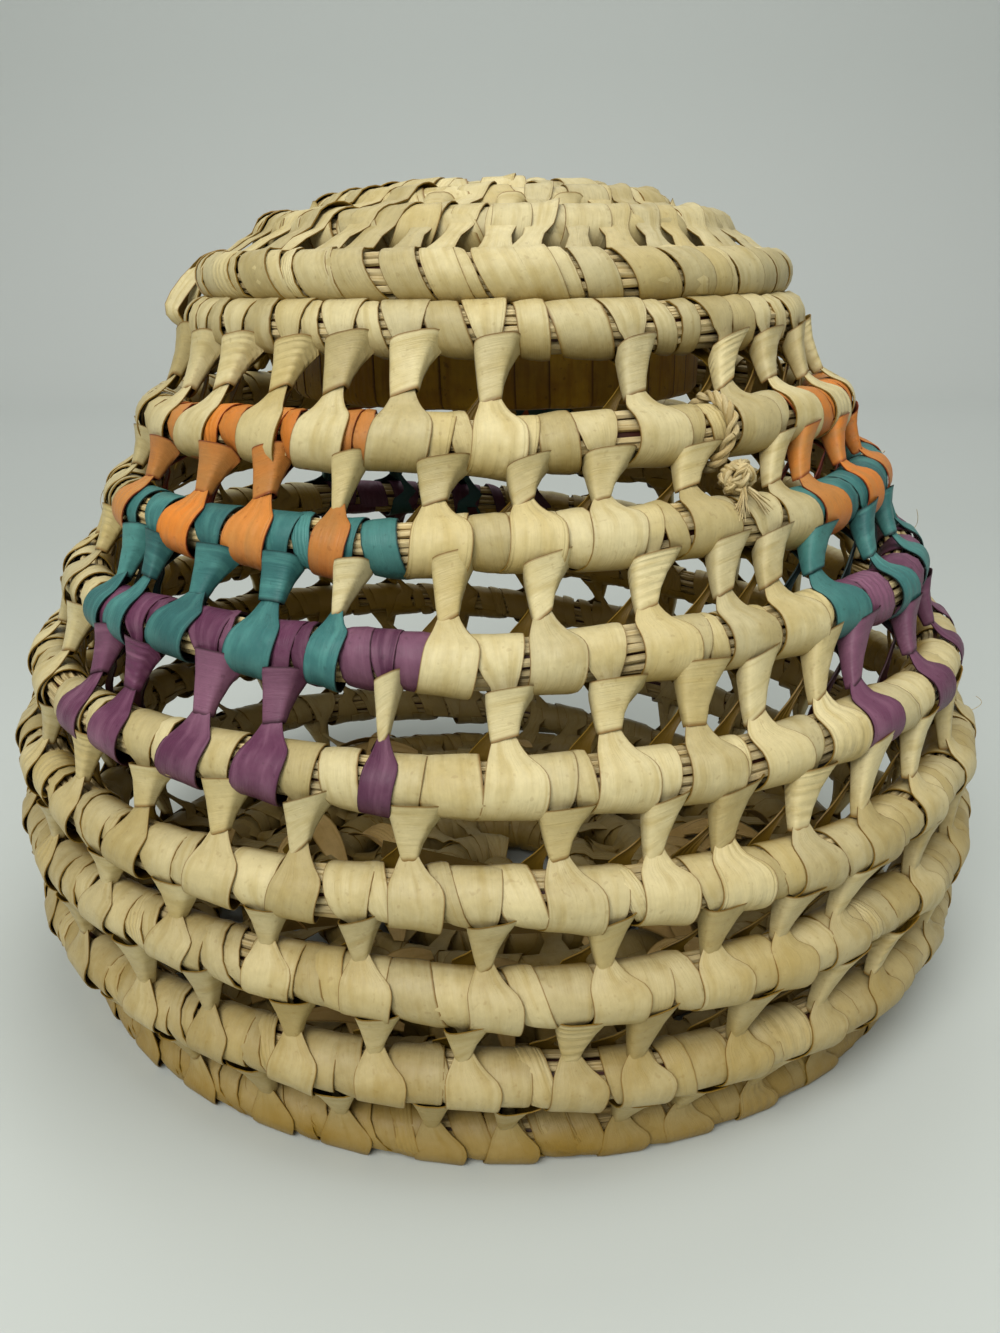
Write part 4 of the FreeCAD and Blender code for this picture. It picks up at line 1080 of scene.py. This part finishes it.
def tie_pieces():
    """The straw cord at the right: a twisted loop round the turn below the neck, a ball knot of
    crossing loops, and two tufts of loose straw below it."""
    lean = np.linspace(0, 360, 90)
    drift = 1.1 * np.sin(np.radians(lean)) + 0.5 * np.sin(np.radians(3 * lean + 40))
    azimuth = TIE_AZIMUTH + np.degrees(drift / 100)
    path = on_coil(wall_place(NECK - 1), azimuth, lean, TIE_REACH)
    shells = cord_shells(path, leaning(azimuth, lean), 6)
    make_piece("twisted_tie_loop", "basket", ["tie_loop"], [(shells, straw)])
    low, high = box_of("tie_knot")
    middle = (low + high) / 2
    angle = np.linspace(0, 2 * math.pi, 34)[:, None]
    layers = []
    for number, (tip, turn) in enumerate(np.radians([(15, 0), (75, 40), (100, 110), (50, 160), (120, 75)])):
        u = np.array([math.cos(turn), math.sin(turn), 0])
        v = np.array([-math.sin(turn) * math.cos(tip), math.cos(turn) * math.cos(tip), math.sin(tip)])
        reach = 3.2 + 0.12 * number + 0.35 * np.sin(2 * angle + number)
        path = middle + (np.cos(angle) * u + np.sin(angle) * v) * reach
        layers.append((cord_shells(path, path - middle, 4, 0.62), straw))
    make_piece("tied_ball_knot", "basket", ["tie_knot"], layers)
    spread = chance.normal(0, 1, (TIE_STRAWS, 2))
    spot = np.linspace(0, 1, 8)[None]
    group = np.where(np.arange(TIE_STRAWS) % 2 == 0, -1.0, 1.0)[:, None]
    out, across = (leaning(np.array(TIE_AZIMUTH), lean) for lean in (-38.0, 52.0))
    side = sideways(np.array(TIE_AZIMUTH))
    length = chance.uniform(4, 7.5, TIE_STRAWS)[:, None]
    paths = middle + out * (4.0 + length * spot)[..., None]
    paths = paths + side * (group * (0.6 + 3.4 * spot) + spread[:, :1] * 0.9 * spot ** 1.5)[..., None]
    paths = paths + across * (spread[:, 1:] * (0.5 + 0.8 * spot ** 1.5) - 1.2 * spot ** 2)[..., None]
    tufts = tube_shells(paths, 0.42 * (1 - 0.75 * spot), 4, chance.uniform(0, 1, TIE_STRAWS),
                        np.array([0.3, 0.2, 1.0]))
    make_piece("frayed_tie_ends", "basket", ["tie_ends"], [(tufts, straw)])


def loose_pieces():
    """Hair-like fibres that stand off the wall, and loose strips and leaf ends that lie inside."""
    turn = chance.integers(1, NECK, HAIRS)
    left = chance.random(HAIRS) < 0.4
    azimuth = np.where(left, chance.uniform(-115, -72, HAIRS), chance.uniform(70, 180, HAIRS))
    start = np.array([on_coil(wall_place(one), np.array(where), 25.0, 6.0)
                      for one, where in zip(turn, azimuth)])
    spot = np.linspace(0, 1, 12)[None, :, None]
    reach, sweep, rise, curl = (values[:, None, None] for values in (
        chance.uniform(2, 7, HAIRS), chance.normal(0, 9, HAIRS), chance.normal(0, 5, HAIRS),
        chance.normal(0, 5, HAIRS)))
    out, side = outward(azimuth)[:, None], sideways(azimuth)[:, None]
    paths = start[:, None] + out * reach * np.sin(spot * 2.2) + side * sweep * spot
    paths = paths + UP * (rise * spot + curl * spot ** 2)
    hairs = tube_shells(paths, 0.1, 3, chance.uniform(0, 1, HAIRS), np.array([0.31, 0.2, 0.93]))
    ends = np.array([[(-30, -104, 72), (6, -96, 58), (42, -98, 50)],
                     [(-62, -60, 40), (-20, -78, 30), (16, -62, 24)],
                     [(20, -40, 26), (52, -56, 30), (80, -50, 44)]], float)
    share = np.linspace(0, 1, 16)[None, :, None]
    lines = ends[:, :1] * (1 - share) ** 2 + ends[:, 1:2] * 2 * share * (1 - share) + ends[:, 2:] * share ** 2
    grid = lines[:, :, None] + np.array([0.1, 0.65, 0.75]) * np.array([2.2, 0.0, -2.2])[:, None]
    strips = strip_shells(grid, LEAF_THICKNESS, np.array([0.4, 0.7, 0.9]))
    layers = [(hairs, straw), (strips, natural), (tail_shells(), tail)]
    make_piece("loose_fibres", "basket", [], layers)


def tail_shells():
    """Ends of the lacing strips, left inside: leaves that arch over the base's turns, wider in the
    middle and turned every way."""
    reach = np.sqrt(chance.uniform(0.08, 0.72, TAILS)) * foot_radius
    middle = outward(chance.uniform(-180, 180, TAILS)) * reach[:, None]
    middle[:, 2] = 15.5 + 5.0 * (reach / foot_radius) ** 2
    heading = chance.uniform(-180, 180, TAILS)
    share = np.linspace(-0.5, 0.5, 9)[None, :, None]
    along = share * chance.uniform(16, 32, TAILS)[:, None, None]
    lift = chance.uniform(1.0, 6.0, TAILS)[:, None, None] * (1 - 4 * share ** 2)
    lift = lift + chance.normal(0, 5, TAILS)[:, None, None] * share
    path = middle[:, None] + outward(heading)[:, None] * along + UP * lift
    wide = chance.uniform(5.5, 9.5, TAILS)[:, None, None] * (1 - 2.4 * share ** 2)
    roll = np.radians(chance.normal(0, 28, TAILS))[:, None, None]
    across = sideways(heading)[:, None] * np.cos(roll) + UP * np.sin(roll)
    grid = path[:, :, None] + across[:, :, None] * (np.array([-0.5, 0.0, 0.5]) * wide)[..., None]
    return strip_shells(grid, LEAF_THICKNESS, chance.uniform(0, 1, TAILS), np.broadcast_to(UP, grid.shape))


def floor_material():
    """The pale floor, a little cloudy and lighter where it rises to the wall."""
    material = bpy.data.materials.new("pale_floor")
    material.use_nodes = True
    recipe = Recipe(material.node_tree)
    place = recipe.use("ShaderNodeTexCoord", "Object")
    back, up = recipe.parts(place)[1:]
    floor = recipe.mix(recipe.noise(place, 2.5), (0.51, 0.55, 0.52, 1), (0.55, 0.59, 0.56, 1))
    wall = recipe.mix(recipe.step(up, 0.3, 1.6), (0.71, 0.75, 0.72, 1), (0.61, 0.65, 0.63, 1))
    shader = material.node_tree.nodes["Principled BSDF"]
    recipe.feed(shader.inputs["Base Color"], recipe.mix(recipe.step(back, 0.3, 1.7), floor, wall))
    shader.inputs["Roughness"].default_value = 0.75
    return material


def stage():
    """A pale floor that rises in a curve to a wall behind, and soft lamps. In metres."""
    angle = np.linspace(0, math.pi / 2, 12)
    curve = [(1.6 + 0.6 * math.sin(a), 0.6 - 0.6 * math.cos(a)) for a in angle]
    profile = [(-2.5, 0.0)] + curve + [(2.2, 3.5)]
    points = [(x, y, z) for y, z in profile for x in (-4.0, 4.0)]
    faces = [(2 * i, 2 * i + 1, 2 * i + 3, 2 * i + 2) for i in range(len(profile) - 1)]
    mesh = bpy.data.meshes.new("backdrop")
    mesh.from_pydata(points, [], faces)
    mesh.polygons.foreach_set("use_smooth", np.ones(len(faces), bool))
    mesh.materials.append(floor_material())
    backdrop = bpy.data.objects.new("backdrop", mesh)
    bpy.context.scene.collection.objects.link(backdrop)
    world = bpy.data.worlds.new("soft_room")
    bpy.context.scene.world = world
    world.use_nodes = True
    sky = world.node_tree.nodes["Background"].inputs
    sky["Color"].default_value = (0.98, 0.99, 0.96, 1)
    sky["Strength"].default_value = 0.29
    lamps = [("window", (-0.45, -1.25, 1.2), 0.9, 22.0, (1.0, 0.985, 0.96)),
             ("ceiling", (0.4, -0.4, 1.7), 1.1, 9.8, (1.0, 0.99, 0.97)),
             ("backdrop_lamp", (0.0, 1.2, 2.6), 1.2, 12.0, (1.0, 1.0, 1.0))]
    for name, spot, width, power, colour in lamps:
        lamp = bpy.data.lights.new(name, "AREA")
        lamp.size = width
        lamp.energy = power
        lamp.color = colour
        holder = bpy.data.objects.new(name, lamp)
        holder.matrix_world = Matrix.Translation(spot) @ looking(spot, (0, 0, 0.1))
        bpy.context.scene.collection.objects.link(holder)


def looking(place, target):
    """Turn that points an object's -Z from a place to a target."""
    away = Matrix.Translation(place).translation - Matrix.Translation(target).translation
    return away.to_track_quat("Z", "Y").to_matrix().to_4x4()


def camera():
    """The photograph's view, from a little above the rim and close to the belly."""
    lens = bpy.data.cameras.new("view")
    lens.sensor_width = 36.0
    lens.lens = 31.68
    lens.clip_start = 0.01
    holder = bpy.data.objects.new("view", lens)
    turned = Matrix.Identity(4)
    for degrees, axis in ((-0.15, "Z"), (90 - 18.63, "X"), (-0.39, "Z")):
        turned = turned @ Matrix.Rotation(math.radians(degrees), 4, axis)
    holder.matrix_world = Matrix.Translation((0, -0.3747, 0.2124)) @ turned
    bpy.context.scene.collection.objects.link(holder)
    bpy.context.scene.camera = holder
    bpy.context.scene.view_settings.view_transform = "Standard"


camera()
stage()
wall_pieces()
lid_pieces()
base_pieces()
button_piece("palm_base_button", "basket", "base_button")
button_piece("palm_lid_button", "lid", "lid_button")
flange_piece()
tack_piece()
hinge_piece()
tie_pieces()
loose_pieces()
